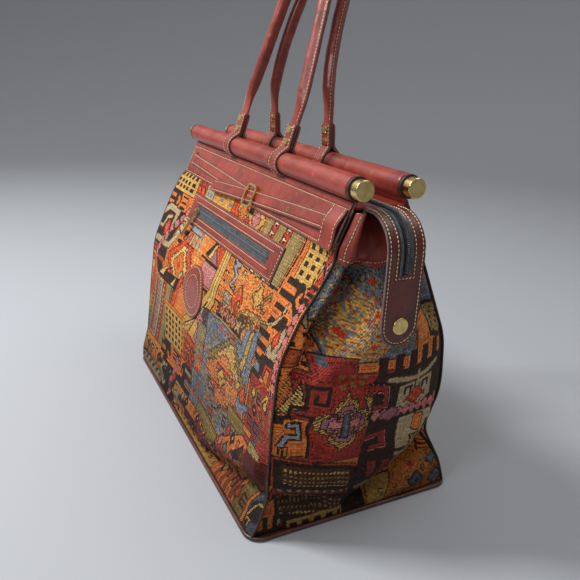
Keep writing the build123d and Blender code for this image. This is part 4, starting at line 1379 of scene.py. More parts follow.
def handle_piece(bar, material, rows):
    """Rolled handle with its sewn flange, pressed flat where the loops hold it."""
    name = bar + "_handle"
    points, across, outward, height, run = handle_frames(bar)
    half = np.array(roll_outline)
    outline = np.concatenate([half, half[-2:0:-1] * np.array([-1, 1])])
    angles = np.arctan2(outline[:, 0] / roll_radius, outline[:, 1] / tab_half_width)
    pressed = np.stack([np.sin(angles), np.cos(angles)], -1)
    pressed = np.sign(pressed) * np.abs(pressed) ** np.array([0.35, 0.8])
    pressed = pressed * np.array([tab_half_thickness, tab_half_width])
    flat = flatness(height)[:, None, None]
    section = outline * (1 - flat) + pressed * flat
    rings = points[:, None] + section[..., :1] * across[:, None] + section[..., 1:] * outward[:, None]
    skin = rings.reshape(-1, 3)
    middle = np.repeat(points, len(outline), axis=0)
    out = unit(skin - middle)
    squeezed = np.stack([np.repeat(run, len(outline)) * 3.2, out[:, 0] * 9, out[:, 1] * 9], -1)
    wrinkles = 0.3 * soft_noise(squeezed, 17, 3) + 0.32 * soft_noise(skin, 24, 4)
    loose = 1 - 0.85 * np.repeat(flat[:, 0, 0], len(outline))
    gaps = row_gaps(skin, rows)
    skin = skin + out * (wrinkles * loose - groove_depths(gaps))[:, None]
    mesh = ring_mesh(name + "_leather", skin.reshape(rings.shape))
    cut = np.tile(0.45 * smooth_share(outline[:, 1], 11.9, 12.4), len(points))
    mark_leather(mesh, cut, gaps)
    return place_mesh(name + "_leather", mesh, material, name, "leather", name)


def cloth_ripple(points, seed):
    """Small unevenness of the cloth, sampled on a coarse grid and spread to every knot."""
    rows, columns = points.shape[:2]
    coarse_rows = np.unique(np.append(np.arange(0, rows, ripple_step), rows - 1))
    coarse_columns = np.unique(np.append(np.arange(0, columns, ripple_step), columns - 1))
    coarse = points[np.ix_(coarse_rows, coarse_columns)]
    flat = coarse.reshape(-1, 3)
    ripple = 0.9 * soft_noise(flat, 46, seed) + 0.45 * soft_noise(flat, 19, seed + 1)
    ripple = ripple.reshape(coarse.shape[:2])
    by_row = np.array([np.interp(np.arange(columns), coarse_columns, line) for line in ripple])
    full = np.array([np.interp(np.arange(rows), coarse_rows, line) for line in by_row.T]).T
    row_edge = np.minimum(np.arange(rows), rows - 1 - np.arange(rows))
    column_edge = np.minimum(np.arange(columns), columns - 1 - np.arange(columns))
    row_hold = smooth_share(row_edge, 0, ripple_hold)
    return full * (row_hold[:, None] * smooth_share(column_edge, 0, ripple_hold)[None, :])


def wall_piece(name, node, size, back, material, seed):
    """Front or back cloth, woven and laid on the wall's profile."""
    loom = Loom(-seam_half, cloth_top, seam_half, wall_run, size, "orange")
    weave_front(loom)
    x = np.linspace(-seam_half, seam_half, loom.columns + 1)
    run = np.linspace(cloth_top, wall_run, loom.rows + 1)
    x, run = np.meshgrid(x, run)
    points = wall_point(x, run, -0.05)
    if back:
        points = wall_point(x, run, -0.05, swollen=False) * MIRROR_X * MIRROR_Y
        points[..., 1] -= half_depth(points[..., 2]) - rear_half_depth(points[..., 2], points[..., 0])
    piece = cloth_piece(name, loom, points, material, seed)
    settle(piece, "bag", "tapestry", node)
    return piece


def gusset_piece(name, node, side, material, seed):
    """Right or left side cloth."""
    bottom = foot_height
    widest = half_depth(bottom) - wall_gap
    loom = Loom(-widest, -gusset_top, widest, -bottom, knot, "orange")
    across = np.linspace(-side, side, loom.columns + 1)
    height = np.linspace(gusset_top, bottom, loom.rows + 1)
    across, height = np.meshgrid(across, height)
    points = gusset_point(across, height, 0.0, side)
    middles = (points[:-1, :-1] + points[1:, 1:]) / 2
    loom.x = side * middles[..., 1]
    loom.y = -middles[..., 2]
    weave_gusset(loom)
    piece = cloth_piece(name, loom, points, material, seed)
    settle(piece, "bag", "tapestry", node)
    return piece


# Stitch rows


def rectangle_row(half_length, half_width, drop, lift):
    """A closed row of stitches round a rectangle on the slope."""
    corners = [(-1, -1), (1, -1), (1, 1), (-1, 1), (-1, -1)]
    points = [slope_point(np.array(a * half_length), drop + b * half_width, lift) for a, b in corners]
    return np.array(points)


def curve_through(start, middle, end, steps=40):
    """Points of a gentle curve through three places."""
    x = np.linspace(start[0], end[0], steps)
    terms = np.polyfit([start[0], middle[0], end[0]], [start[1], middle[1], end[1]], 2)
    return x, np.polyval(terms, x)


def strap_rows(start, middle, end, lift):
    """Two rows along a strap's edges."""
    x, drop = curve_through(start, middle, end)
    offset = strap_half - 2.6
    return [slope_point(x, drop + side * offset, lift) for side in (-1, 1)]


tongue_line = rounded_line(
    [(seam_half, wall_top_height), (tongue_reach, wall_top_height), (tongue_reach, tongue_end_height)],
    [tongue_bend],
)
tongue_run = lengths_along(tongue_line)


def tongue_point(run, y):
    """A point on the right tongue's outer face, at a distance along it."""
    run = np.asarray(run, float)
    x = np.interp(run, tongue_run, tongue_line[:, 0])
    z = np.interp(run, tongue_run, tongue_line[:, 1])
    return np.stack([x, np.asarray(y, float) + 0 * run, z], -1)


def tongue_rows():
    """Rows round the tongue's edge and round the zip's window."""
    rows = []
    edge = tongue_half - 3.0
    end_turn = tongue_run[-1] - tongue_half
    angles = np.linspace(0, math.pi, 40)
    side = np.linspace(3, end_turn, 60)
    run = np.concatenate([side, end_turn + edge * np.sin(angles), side[::-1]])
    y = np.concatenate([0 * side + edge, edge * np.cos(angles), 0 * side - edge])
    rows.append(tongue_point(run, y))
    window_run = tongue_run[-1] - (window_end_height - tongue_end_height)
    inner = zip_window_half + 3.2
    side = np.linspace(3, window_run + 3.5, 50)
    run = np.concatenate([side, side[::-1]])
    y = np.concatenate([0 * side + inner, 0 * side - inner])
    rows.append(tongue_point(run, y))
    mirrored = [row * MIRROR_X for row in rows]
    return rows + mirrored


def handle_axes(bar):
    """Where a handle's bar is, and the directions up the handle and out of its arch's face."""
    lean = math.radians(handle_lean[bar])
    start = np.array([0, -bar_half if bar == "front" else bar_half, bar_height])
    up = np.array([0, math.sin(lean), math.cos(lean)])
    out = np.array([0, math.cos(lean), -math.sin(lean)])
    return start, up, out


def loop_rows(bar, side):
    """Rows along both edges of a handle loop, round the bar and up its neck."""
    start, up, out = handle_axes(bar)
    turn_start = math.atan2(neck_base, neck_half)
    turn_start -= math.acos(loop_radius / math.hypot(neck_base, neck_half))
    angles = np.linspace(turn_start, -math.pi - turn_start, 40)
    across = np.concatenate([[neck_half] * 2, loop_radius * np.cos(angles), [-neck_half] * 2])
    above = np.concatenate(
        [[neck_top - 3, neck_base], loop_radius * np.sin(angles), [neck_base, neck_top - 3]]
    )
    rows = []
    for edge in (-1, 1):
        place = side * handle_half_span + edge * (loop_half_width - 2.4)
        rows.append(start + np.array([place, 0, 0]) + across[:, None] * out + above[:, None] * up)
    return rows


def handle_frames(bar):
    """Points along a handle's middle, with the directions across its arch and outwards."""
    start, up, out = handle_axes(bar)
    line = rounded_line(
        [
            (handle_half_span, tab_end),
            (handle_half_span, roll_start),
            (arch_half, arch_height),
            (-arch_half, arch_height),
            (-handle_half_span, roll_start),
            (-handle_half_span, tab_end),
        ],
        [handle_bend, arch_radius, arch_radius, handle_bend],
    )
    run = lengths_along(line)
    places = np.linspace(0, run[-1], 420)
    flat = np.stack([np.interp(places, run, line[:, axis]) for axis in range(2)], -1)
    rise = np.clip(flat[:, 1] - bow_start, 0, None) / (arch_height - bow_start)
    push = handle_bow[bar] * rise**bow_power
    points = start + flat[:, :1] * np.array([1, 0, 0]) + flat[:, 1:] * up + push[:, None] * out
    along = unit(np.gradient(points, axis=0))
    across = unit(out - (along @ out)[:, None] * along)
    outward = np.cross(across, along)
    return points, across, outward, flat[:, 1], places


def handle_rows(bar):
    """Rows on both faces of the handle's flange."""
    points, across, outward, height, run = handle_frames(bar)
    sewn = height > neck_top + 5
    rows = []
    for face in (-1, 1):
        flat = flatness(height)[:, None]
        row = flange_row * (1 - flat) + (tab_half_width - 2.2) * flat
        lift = (flange_half * (1 - flat) + (tab_half_thickness + 0.3) * flat) * face
        rows.append((points + row * outward + lift * across)[sewn])
    return rows


def flatness(height):
    """How far the roll is pressed flat towards its ends, from 0 to 1."""
    return 1 - smooth_share(height, neck_top - 1, roll_start + 22)


def bag_rows():
    """Every stitch row that stays with the bag."""
    rows = []
    long_run = np.linspace(-band_half + 4, band_half - 4, 120)
    for turn in (1, MIRROR_Y):
        rows.append(slope_point(long_run, band_drop - stitch_inset, band_face) * turn)
        rows.append(slope_point(long_run, 4.0, band_face) * turn)
    drops = np.linspace(6, band_drop - 5, 20)
    for end in (-1, 1):
        rows.append(slope_point(0 * drops + end * (band_half - 4), drops, band_face) * MIRROR_Y)
    rows.append(slope_point(0 * drops - (band_half - 4), drops, band_face))
    for place in (strip_start + 2.6, strip_end - 2.8):
        rows.append(slope_point(0 * drops + place, drops, 0) + strip_lift(drops)[:, None] * slope_out)
    rows += strap_rows(*buckle_strap_line, strap_face)
    rows += strap_rows(*tongue_strap_line, tongue_strap_face)
    rows.append(rectangle_row(
        pocket_half_length - stitch_inset, pocket_half_width - stitch_inset, pocket_drop, pocket_face
    ))
    for side in (-1, 1):
        x = np.linspace(-pocket_window_half_length - 6, pocket_window_half_length + 6, 60)
        drop = pocket_drop + side * (pocket_window_half_width + stitch_inset)
        rows.append(slope_point(x, drop, pocket_face))
    rows += patch_rows()
    for side in (-1, 1):
        across = np.linspace(-0.95, 0.95, 90)
        rows.append(gusset_point(across, side_band_edge(across) + side_row_inset, side_band_face, side))
        heights = np.linspace(gusset_top + 2, side_row_top, 24)
        rows.append(gusset_point(0 * heights - 0.9, heights, side_band_face, side))
        x = np.linspace(-seam_half + 4, seam_half - 4, 120)
        rows.append(np.stack([x, 0 * x + side * (zip_window_half + 3), 0 * x + wall_top_height], -1))
    rows += tongue_rows()
    return rows


def strip_lift(drop):
    """How far the end strip stands off the slope, raised where it covers the strap."""
    return band_face + strip_rise + hump(drop, *strip_hump)


def patch_rows():
    """Two round rows of stitches near the patch's edge."""
    middle = (patch_low + patch_high) / 2
    half = (patch_high.x - patch_low.x) / 2
    angles = np.linspace(0, 2 * math.pi, 80)
    rows = []
    for radius in (half - 3.4, half * 0.62):
        x = middle.x + radius * np.cos(angles)
        run = run_at(middle.z + radius * np.sin(angles))
        rows.append(wall_point(x, run, patch_face))
    return rows


def node_tree(name, inputs):
    """A Geometry Nodes tree with a mesh coming in and out, and named size inputs."""
    tree = bpy.data.node_groups.new(name, "GeometryNodeTree")
    tree.interface.new_socket("Geometry", in_out="INPUT", socket_type="NodeSocketGeometry")
    for label, kind in inputs:
        tree.interface.new_socket(label, in_out="INPUT", socket_type=kind)
    tree.interface.new_socket("Geometry", in_out="OUTPUT", socket_type="NodeSocketGeometry")
    return tree, tree.nodes.new("NodeGroupInput"), tree.nodes.new("NodeGroupOutput")


def bead_tree():
    """Rounded beads set at an even pitch along every line of the mesh that comes in."""
    inputs = [
        ("Pitch", "NodeSocketFloat"),
        ("Bead Size", "NodeSocketVector"),
        ("Thread", "NodeSocketMaterial"),
    ]
    tree, start, end = node_tree("beads along lines", inputs)
    link = tree.links.new
    curve = tree.nodes.new("GeometryNodeMeshToCurve")
    places = tree.nodes.new("GeometryNodeCurveToPoints")
    places.mode = "LENGTH"
    bead = tree.nodes.new("GeometryNodeMeshUVSphere")
    bead.inputs["Segments"].default_value = 6
    bead.inputs["Rings"].default_value = 5
    bead.inputs["Radius"].default_value = 0.5
    shaped = tree.nodes.new("GeometryNodeTransform")
    spread = tree.nodes.new("GeometryNodeInstanceOnPoints")
    real = tree.nodes.new("GeometryNodeRealizeInstances")
    smooth = tree.nodes.new("GeometryNodeSetShadeSmooth")
    finish = tree.nodes.new("GeometryNodeSetMaterial")
    link(start.outputs["Geometry"], curve.inputs["Mesh"])
    link(curve.outputs["Curve"], places.inputs["Curve"])
    link(start.outputs["Pitch"], places.inputs["Length"])
    link(places.outputs["Points"], spread.inputs["Points"])
    link(places.outputs["Rotation"], spread.inputs["Rotation"])
    link(bead.outputs["Mesh"], shaped.inputs["Geometry"])
    link(start.outputs["Bead Size"], shaped.inputs["Scale"])
    link(shaped.outputs["Geometry"], spread.inputs["Instance"])
    link(spread.outputs["Instances"], real.inputs["Geometry"])
    link(real.outputs["Geometry"], smooth.inputs["Geometry"])
    link(smooth.outputs["Geometry"], finish.inputs["Geometry"])
    link(start.outputs["Thread"], finish.inputs["Material"])
    link(finish.outputs["Geometry"], end.inputs["Geometry"])
    return tree


def socket_id(tree, label):
    """Identifier of a tree's input socket."""
    for item in tree.interface.items_tree:
        if item.item_type == "SOCKET" and item.in_out == "INPUT" and item.name == label:
            return item.identifier
    raise KeyError(label)


def baked(piece, name):
    """The mesh that a piece's modifiers make. The piece itself is taken out of the scene."""
    graph = bpy.context.evaluated_depsgraph_get()
    mesh = bpy.data.meshes.new_from_object(piece.evaluated_get(graph))
    mesh.name = name
    raw = piece.data
    bpy.data.objects.remove(piece)
    bpy.data.meshes.remove(raw)
    return mesh


def bead_piece(name, rows, tree, pitch, size, material):
    """Beads along rows of points, as a plain mesh."""
    vertices = np.concatenate(rows) * MM
    edges = []
    start = 0
    for row in rows:
        edges += [(start + k, start + k + 1) for k in range(len(row) - 1)]
        start += len(row)
    mesh = bpy.data.meshes.new(name + "_lines")
    mesh.from_pydata(vertices.tolist(), edges, [])
    lines = new_piece(name + "_lines", mesh)
    beads = lines.modifiers.new("beads", "NODES")
    beads.node_group = tree
    beads[socket_id(tree, "Pitch")] = pitch * MM
    beads[socket_id(tree, "Bead Size")] = [length * MM for length in size]
    beads[socket_id(tree, "Thread")] = material
    return new_piece(name, baked(lines, name))


# Leather pieces


def welded_copy(node):
    """A copy of a node's mesh with its loose triangles joined."""
    made = bmesh.new()
    made.from_mesh(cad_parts[node].data)
    bmesh.ops.remove_doubles(made, verts=made.verts, dist=0.002 * MM)
    mesh = bpy.data.meshes.new(node + "_copy")
    made.to_mesh(mesh)
    made.free()
    return mesh


def softened(node, name, cell, rounds):
    """A node's shape as an even fine mesh with its edges worn round."""
    rough = new_piece(name + "_rough", welded_copy(node))
    remesh = rough.modifiers.new("even", "REMESH")
    remesh.mode = "VOXEL"
    remesh.voxel_size = cell * MM
    smooth = rough.modifiers.new("worn", "SMOOTH")
    smooth.factor = 0.5
    smooth.iterations = rounds
    mesh = baked(rough, name)
    mesh.shade_smooth()
    return mesh


def vertex_values(mesh, label):
    """One vector of every vertex: its place (co) or its normal."""
    values = np.empty(len(mesh.vertices) * 3, np.float32)
    mesh.vertices.foreach_get(label, values)
    return values.reshape(-1, 3).astype(float)


def dense_points(rows, spacing=0.8):
    """Points at an even spacing along every row."""
    points = []
    for row in rows:
        run = lengths_along(row)
        places = np.arange(0, run[-1], spacing)
        points.append(np.stack([np.interp(places, run, row[:, axis]) for axis in range(3)], -1))
    return np.concatenate(points)


def row_tree(rows):
    """A search tree over the stitch rows."""
    points = dense_points(rows)
    tree = KDTree(len(points))
    for index, point in enumerate(points):
        tree.insert(point, index)
    tree.balance()
    return tree


def row_gaps(points, tree):
    """Distance from each point to the nearest stitch row."""
    return np.array([tree.find(point)[2] for point in points])


def groove_depths(gaps):
    """How far the leather is pulled in under the stitches."""
    return groove_depth * np.clip(1 - (gaps / groove_reach) ** 2, 0, 1)


def mark_leather(mesh, cut, gaps):
    """Stores how much of a surface is cut edge, and how near it is to a stitch row, which sets the painted
    shade along the stitching.
    """
    for name, values in (("cut_edge", cut), ("pressed", np.exp(-((gaps / stitch_shade_reach) ** 2)))):
        attribute = mesh.attributes.new(name, "FLOAT", "POINT")
        attribute.data.foreach_set("value", values.astype(np.float32))


def flat_edges(normal):
    """Marks cut edges of a flat strip by how far a normal turns from the strip's face."""
    def mark(points, normals):
        return smooth_share(1 - np.abs(normals @ normal), 0.12, 0.42)
    return mark


def side_edges(axis):
    """Marks cut edges of a bent strip, which face along one axis."""
    def mark(points, normals):
        return smooth_share(np.abs(normals[:, axis]), 0.5, 0.85)
    return mark


def no_edges(points, normals):
    """Marks no cut edges."""
    return np.zeros(len(points))


def bar_round(points):
    """Pulls the sleeve's faceted skin onto a true round bar."""
    for bar_place in (-bar_half, bar_half):
        offset = points[:, 1:] - np.array([bar_place, bar_height])
        reach = np.linalg.norm(offset, axis=1)
        skin = np.abs(reach - sleeve_radius) < 0.5
        points[skin, 1:] = np.array([bar_place, bar_height]) + (
            offset[skin] / reach[skin, None] * sleeve_radius
        )
    return points


def follow_wall(points):
    """Moves a patch that lies on the front wall out with the cloth's swell."""
    run = run_at(points[:, 2])
    swell = wall_swell(points[:, 0], run)
    flat = wall_point(points[:, 0], run, 0, swollen=False)
    out = wall_point(points[:, 0], run, 1, swollen=False) - flat
    return points + out * swell[:, None]


def unmoved(points):
    """Leaves a shape as it is."""
    return points


def leather_piece(node, body, cell, material, rows, edges=no_edges, shape=unmoved, ripple=0.35, rounds=4):
    """A leather piece with worn edges, slight waves and grooves under its stitches."""
    name = node + "_leather"
    mesh = softened(node, name, cell, rounds)
    normals = vertex_values(mesh, "normal")
    points = shape(vertex_values(mesh, "co") / MM)
    waves = soft_noise(points, 34, len(name)) + 0.4 * soft_noise(points, 11, len(name) + 3)
    gaps = row_gaps(points, rows)
    depth = ripple * waves - groove_depths(gaps)
    cut = edges(points, normals)
    points = points + normals * depth[:, None]
    mesh.vertices.foreach_set("co", (points * MM).astype(np.float32).ravel())
    mark_leather(mesh, cut, gaps)
    mesh.update()
    return place_mesh(name, mesh, material, body, "leather", node)


# Finishes


class Shader:
    """Short calls for building a node tree."""

    def __init__(self, tree):
        self.tree = tree

    def node(self, kind, **settings):
        made = self.tree.nodes.new(kind)
        for name, value in settings.items():
            setattr(made, name, value)
        return made

    def link(self, output, target):
        self.tree.links.new(output, target)

    def value(self, target, content):
        if isinstance(content, bpy.types.NodeSocket):
            self.link(content, target)
        else:
            target.default_value = content

    def math(self, operation, first, second=0.0, clamp=False):
        made = self.node("ShaderNodeMath", operation=operation, use_clamp=clamp)
        self.value(made.inputs[0], first)
        self.value(made.inputs[1], second)
        return made.outputs[0]

    def mix(self, share, first, second, blend="MIX"):
        made = self.node("ShaderNodeMix", data_type="RGBA", blend_type=blend)
        self.value(made.inputs["Factor"], share)
        first_input, second_input = (item for item in made.inputs if item.type == "RGBA")
        self.value(first_input, first)
        self.value(second_input, second)
        return next(item for item in made.outputs if item.type == "RGBA")

    def noise(self, vector, scale, detail=3.0, rough=0.5):
        made = self.node("ShaderNodeTexNoise")
        self.value(made.inputs["Vector"], vector)
        self.value(made.inputs["Scale"], scale)
        made.inputs["Detail"].default_value = detail
        made.inputs["Roughness"].default_value = rough
        return made.outputs["Fac"]

    def band(self, content, start, end, low=0.0, high=1.0):
        made = self.node("ShaderNodeMapRange")
        self.value(made.inputs["Value"], content)
        self.value(made.inputs["From Min"], start)
        self.value(made.inputs["From Max"], end)
        self.value(made.inputs["To Min"], low)
        self.value(made.inputs["To Max"], high)
        return made.outputs["Result"]


COLOUR = "NodeSocketColor"
FLOAT = "NodeSocketFloat"
VECTOR = "NodeSocketVector"
FINISH_OUTPUTS = {"Colour": COLOUR, "Roughness": FLOAT, "Height": FLOAT}


def shader_group(name, inputs):
    """An empty shader group with named inputs and a finish's outputs."""
    tree = bpy.data.node_groups.new(name, "ShaderNodeTree")
    for label, kind, start in inputs:
        item = tree.interface.new_socket(label, in_out="INPUT", socket_type=kind)
        item.default_value = start
    for label, kind in FINISH_OUTPUTS.items():
        tree.interface.new_socket(label, in_out="OUTPUT", socket_type=kind)
    return Shader(tree), tree.nodes.new("NodeGroupInput"), tree.nodes.new("NodeGroupOutput")


def put_out(s, end, colour, rough, height):
    """Links a group's results to its outputs."""
    for label, result in zip(FINISH_OUTPUTS, (colour, rough, height)):
        s.link(result, end.inputs[label])
    return s.tree


def leather_group():
    """Pebbled grain with cloudy dye, darker pores, rubbed high spots, pale cut edges and painted shade along
    the stitch rows.
    """
    inputs = [
        ("Place", VECTOR, (0, 0, 0)),
        ("Dye", COLOUR, linear((146, 58, 44))),
        ("Deep Dye", COLOUR, linear((104, 36, 28))),
        ("Rubbed", COLOUR, linear((176, 84, 64))),
        ("Cut Edge Colour", COLOUR, linear(CUT_EDGE)),
        ("Cut Edge", FLOAT, 0.0),
        ("Painted Stitch Shade", FLOAT, 0.0),
    ]
    s, start, end = shader_group("grained leather", inputs)
    place = start.outputs["Place"]
    clouds = s.noise(place, 17.0, 5.0, 0.6)
    scuffs = s.noise(place, 85.0, 6.0, 0.7)
    pebble = s.node("ShaderNodeTexVoronoi", feature="DISTANCE_TO_EDGE")
    s.link(place, pebble.inputs["Vector"])
    pebble.inputs["Scale"].default_value = 780.0
    pores = s.band(pebble.outputs["Distance"], 0.0, 0.22)
    creases = s.noise(place, 240.0, 4.0, 0.65)
    dye = s.mix(s.band(clouds, 0.36, 0.6), start.outputs["Deep Dye"], start.outputs["Dye"])
    dye = s.mix(s.math("MULTIPLY", s.band(scuffs, 0.52, 0.74), 0.6), dye, start.outputs["Rubbed"])
    dye = s.mix(s.band(creases, 0.54, 0.72, 0.0, 0.45), dye, start.outputs["Deep Dye"])
    # Painted shade along the stitch rows: the dye turns deeper near the stitching
    dye = s.mix(s.math("MULTIPLY", start.outputs["Painted Stitch Shade"], 0.7), dye, start.outputs["Deep Dye"])
    dye = s.mix(s.band(pores, 0.0, 1.0, 0.34, 0.0), dye, start.outputs["Deep Dye"])
    fuzz = s.mix(s.band(creases, 0.3, 0.7), start.outputs["Cut Edge Colour"], linear(CUT_FUZZ))
    colour = s.mix(start.outputs["Cut Edge"], dye, fuzz)
    rough = s.band(scuffs, 0.34, 0.66, 0.3, 0.55)
    rough = s.math("ADD", rough, s.math("MULTIPLY", start.outputs["Cut Edge"], 0.45), True)
    height = s.math("ADD", s.math("MULTIPLY", pores, 0.35), s.math("MULTIPLY", creases, 0.5))
    return put_out(s, end, colour, rough, height)


def weave_group():
    """Over-and-under threads with fuzzy light and dark yarn, painted shade where threads dip under and
    painted highlight where they cross over.
    """
    inputs = [
        ("Threads", VECTOR, (0, 0, 0)),
        ("Place", VECTOR, (0, 0, 0)),
        ("Yarn", COLOUR, (0.5, 0.5, 0.5, 1)),
        ("Threads Per Knot", FLOAT, 1.0),
    ]
    s, start, end = shader_group("woven threads", inputs)
    parts = s.node("ShaderNodeSeparateXYZ")
    s.link(start.outputs["Threads"], parts.inputs["Vector"])
    turn = s.math("MULTIPLY", start.outputs["Threads Per Knot"], math.pi)
    across = s.math("SINE", s.math("MULTIPLY", parts.outputs["X"], turn))
    along = s.math("SINE", s.math("MULTIPLY", parts.outputs["Y"], turn))
    weave = s.math("MULTIPLY_ADD", s.math("MULTIPLY", across, along), 0.5)
    weave.node.inputs[2].default_value = 0.5
    fuzz = s.noise(start.outputs["Place"], 900.0, 3.0, 0.7)
    fade = s.noise(start.outputs["Place"], 26.0, 4.0, 0.6)
    # The over-and-under pattern also scales the colour: painted shade in the hollows, painted highlight on
    # the crowns
    shade = s.math("MULTIPLY", s.band(fuzz, 0.3, 0.7, 0.76, 1.24), s.band(weave, 0.0, 1.0, 0.74, 1.16))
    shade = s.math("MULTIPLY", shade, s.band(fade, 0.3, 0.7, 0.9, 1.08))
    grey = s.node("ShaderNodeCombineColor")
    for channel in ("Red", "Green", "Blue"):
        s.link(shade, grey.inputs[channel])
    colour = s.mix(1.0, start.outputs["Yarn"], grey.outputs["Color"], "MULTIPLY")
    rough = s.band(fuzz, 0.3, 0.7, 0.78, 0.95)
    return put_out(s, end, colour, rough, s.math("ADD", weave, s.math("MULTIPLY", fuzz, 0.6)))


def wear_group():
    """Cloudy tarnish and fine scratches of handled metal or plain trim."""
    inputs = [
        ("Place", VECTOR, (0, 0, 0)),
        ("Bright", COLOUR, (0.7, 0.6, 0.4, 1)),
        ("Dull", COLOUR, (0.4, 0.3, 0.2, 1)),
        ("Smooth", FLOAT, 0.22),
        ("Rough", FLOAT, 0.45),
    ]
    s, start, end = shader_group("handled wear", inputs)
    clouds = s.noise(start.outputs["Place"], 120.0, 5.0, 0.65)
    stretched = s.node("ShaderNodeMapping")
    stretched.inputs["Scale"].default_value = (1.0, 14.0, 3.0)
    s.link(start.outputs["Place"], stretched.inputs["Vector"])
    scratches = s.noise(stretched.outputs["Vector"], 420.0, 2.0, 0.5)
    colour = s.mix(s.band(clouds, 0.38, 0.7), start.outputs["Bright"], start.outputs["Dull"])
    rough = s.band(clouds, 0.3, 0.75, start.outputs["Smooth"], start.outputs["Rough"])
    return put_out(s, end, colour, rough, s.math("ADD", scratches, s.math("MULTIPLY", clouds, 0.5)))


def finish(name, group, values, bump, bump_depth, settings):
    """A material from one shared group, with its own values and constant shader settings."""
    material = bpy.data.materials.new(name)
    material.use_nodes = True
    s = Shader(material.node_tree)
    shader = material.node_tree.nodes["Principled BSDF"]
    place = s.node("ShaderNodeTexCoord").outputs["Object"]
    effect = s.node("ShaderNodeGroup")
    effect.node_tree = group
    s.link(place, effect.inputs["Place"])
    for label, content in values.items():
        if callable(content):
            content = content(s)
        s.value(effect.inputs[label], content)
    s.link(effect.outputs["Colour"], shader.inputs["Base Color"])
    s.link(effect.outputs["Roughness"], shader.inputs["Roughness"])
    relief = s.node("ShaderNodeBump")
    relief.inputs["Strength"].default_value = bump
    relief.inputs["Distance"].default_value = bump_depth * MM
    s.link(effect.outputs["Height"], relief.inputs["Height"])
    s.link(relief.outputs["Normal"], shader.inputs["Normal"])
    for label, content in settings.items():
        shader.inputs[label].default_value = content
    return material


def from_attribute(name, output):
    """A value that the mesh carries."""
    def read(s):
        made = s.node("ShaderNodeAttribute")
        made.attribute_name = name
        return made.outputs[output]
    return read


def from_threads(s):
    """The cloth's own thread map."""
    made = s.node("ShaderNodeUVMap")
    made.uv_map = "threads"
    return made.outputs["UV"]


leather_grain = leather_group()
woven_threads = weave_group()
handled_wear = wear_group()


def leather_finish(name, dye, deep, rubbed, rough_coat):
    """Grained leather with its own dyes and gloss."""
    values = {
        "Dye": linear(dye),
        "Deep Dye": linear(deep),
        "Rubbed": linear(rubbed),
        "Cut Edge Colour": linear(CUT_EDGE),
        "Cut Edge": from_attribute("cut_edge", "Fac"),
        # The pressed attribute sets the painted shade along the stitching
        "Painted Stitch Shade": from_attribute("pressed", "Fac"),
    }
    settings = {"Coat Weight": 0.5, "Coat Roughness": rough_coat, "Specular IOR Level": 0.3}
    return finish(name, leather_grain, values, 0.6, 0.5, settings)


red_leather = leather_finish("red_brown_leather", (160, 62, 46), (114, 38, 29), (198, 106, 82), 0.22)
dark_leather = leather_finish("dark_brown_leather", (108, 44, 34), (72, 27, 22), (146, 72, 56), 0.28)
base_leather = leather_finish("base_leather", (88, 46, 34), (58, 30, 24), (132, 80, 56), 0.3)

tapestry = finish(
    "kilim_tapestry",
    woven_threads,
    {"Threads": from_threads, "Yarn": from_attribute("woven_colour", "Color"), "Threads Per Knot": 1.0},
    1.0,
    0.9,
    {"Sheen Weight": 0.03, "Sheen Roughness": 0.6, "Specular IOR Level": 0.12},
)


def worn_finish(name, bright, dull, roughness, bump, settings):
    """Handled wear between two colours and two roughnesses, with a bump's strength and depth."""
    values = {"Bright": linear(bright), "Dull": linear(dull), "Smooth": roughness[0], "Rough": roughness[1]}
    return finish(name, handled_wear, values, bump[0], bump[1], settings)


brass = worn_finish(
    "aged_brass", (240, 214, 150), (206, 172, 100), (0.16, 0.34), (0.12, 0.1), {"Metallic": 1.0}
)
dark_trim = worn_finish(
    "dark_piping", (62, 40, 34), (36, 25, 23), (0.4, 0.6), (0.4, 0.3), {"Specular IOR Level": 0.4}
)
zip_cloth = worn_finish(
    "slate_zip_tape", (50, 54, 58), (30, 33, 37), (0.6, 0.85), (0.6, 0.4),
    {"Specular IOR Level": 0.25, "Sheen Weight": 0.1},
)
# The tape's grey made lighter on its ribs: painted highlight along the ribs
painted_rib_highlight = worn_finish(
    "painted_highlight_on_tape_ribs", (104, 110, 114), (62, 68, 74), (0.5, 0.75), (0.4, 0.3), {"Specular IOR Level": 0.35}
)
# The dark coil lightened to mid grey: painted glints on its teeth
zip_coil = worn_finish(
    "coil_with_painted_glints", (104, 106, 110), (60, 62, 66), (0.22, 0.36), (0.2, 0.1), {"Specular IOR Level": 0.5}
)
cream_thread = worn_finish(
    "cream_thread", (236, 208, 164), (204, 162, 114), (0.6, 0.8), (0.3, 0.1), {"Sheen Weight": 0.15}
)
plain_wood = worn_finish(
    "dowel_wood", (188, 148, 100), (150, 108, 68), (0.5, 0.7), (0.3, 0.3), {"Specular IOR Level": 0.4}
)
lining_cloth = worn_finish(
    "lining_cloth", (96, 78, 64), (72, 58, 48), (0.8, 0.95), (0.4, 0.3), {"Specular IOR Level": 0.2}
)


def dress_nodes(material, slot, *names):
    """Gives carried-over nodes their finish. The slot is not used."""
    for name in names:
        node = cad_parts[name]
        node.data.materials.clear()
        node.data.materials.append(material)


# Build the pieces

all_bag_rows = bag_rows()
loop_row_lists = {
    bar: loop_rows(bar, -1) + loop_rows(bar, 1) + handle_rows(bar) for bar in BARS
}
bag_row_tree = row_tree(all_bag_rows)
handle_row_trees = {bar: row_tree(rows) for bar, rows in loop_row_lists.items()}

wall_piece("front_tapestry", "front_panel", knot, False, tapestry, 11)
wall_piece("back_tapestry", "back_panel", back_knot, True, tapestry, 12)
gusset_piece("right_tapestry", "right_gusset", 1, tapestry, 13)
gusset_piece("left_tapestry", "left_gusset", -1, tapestry, 14)

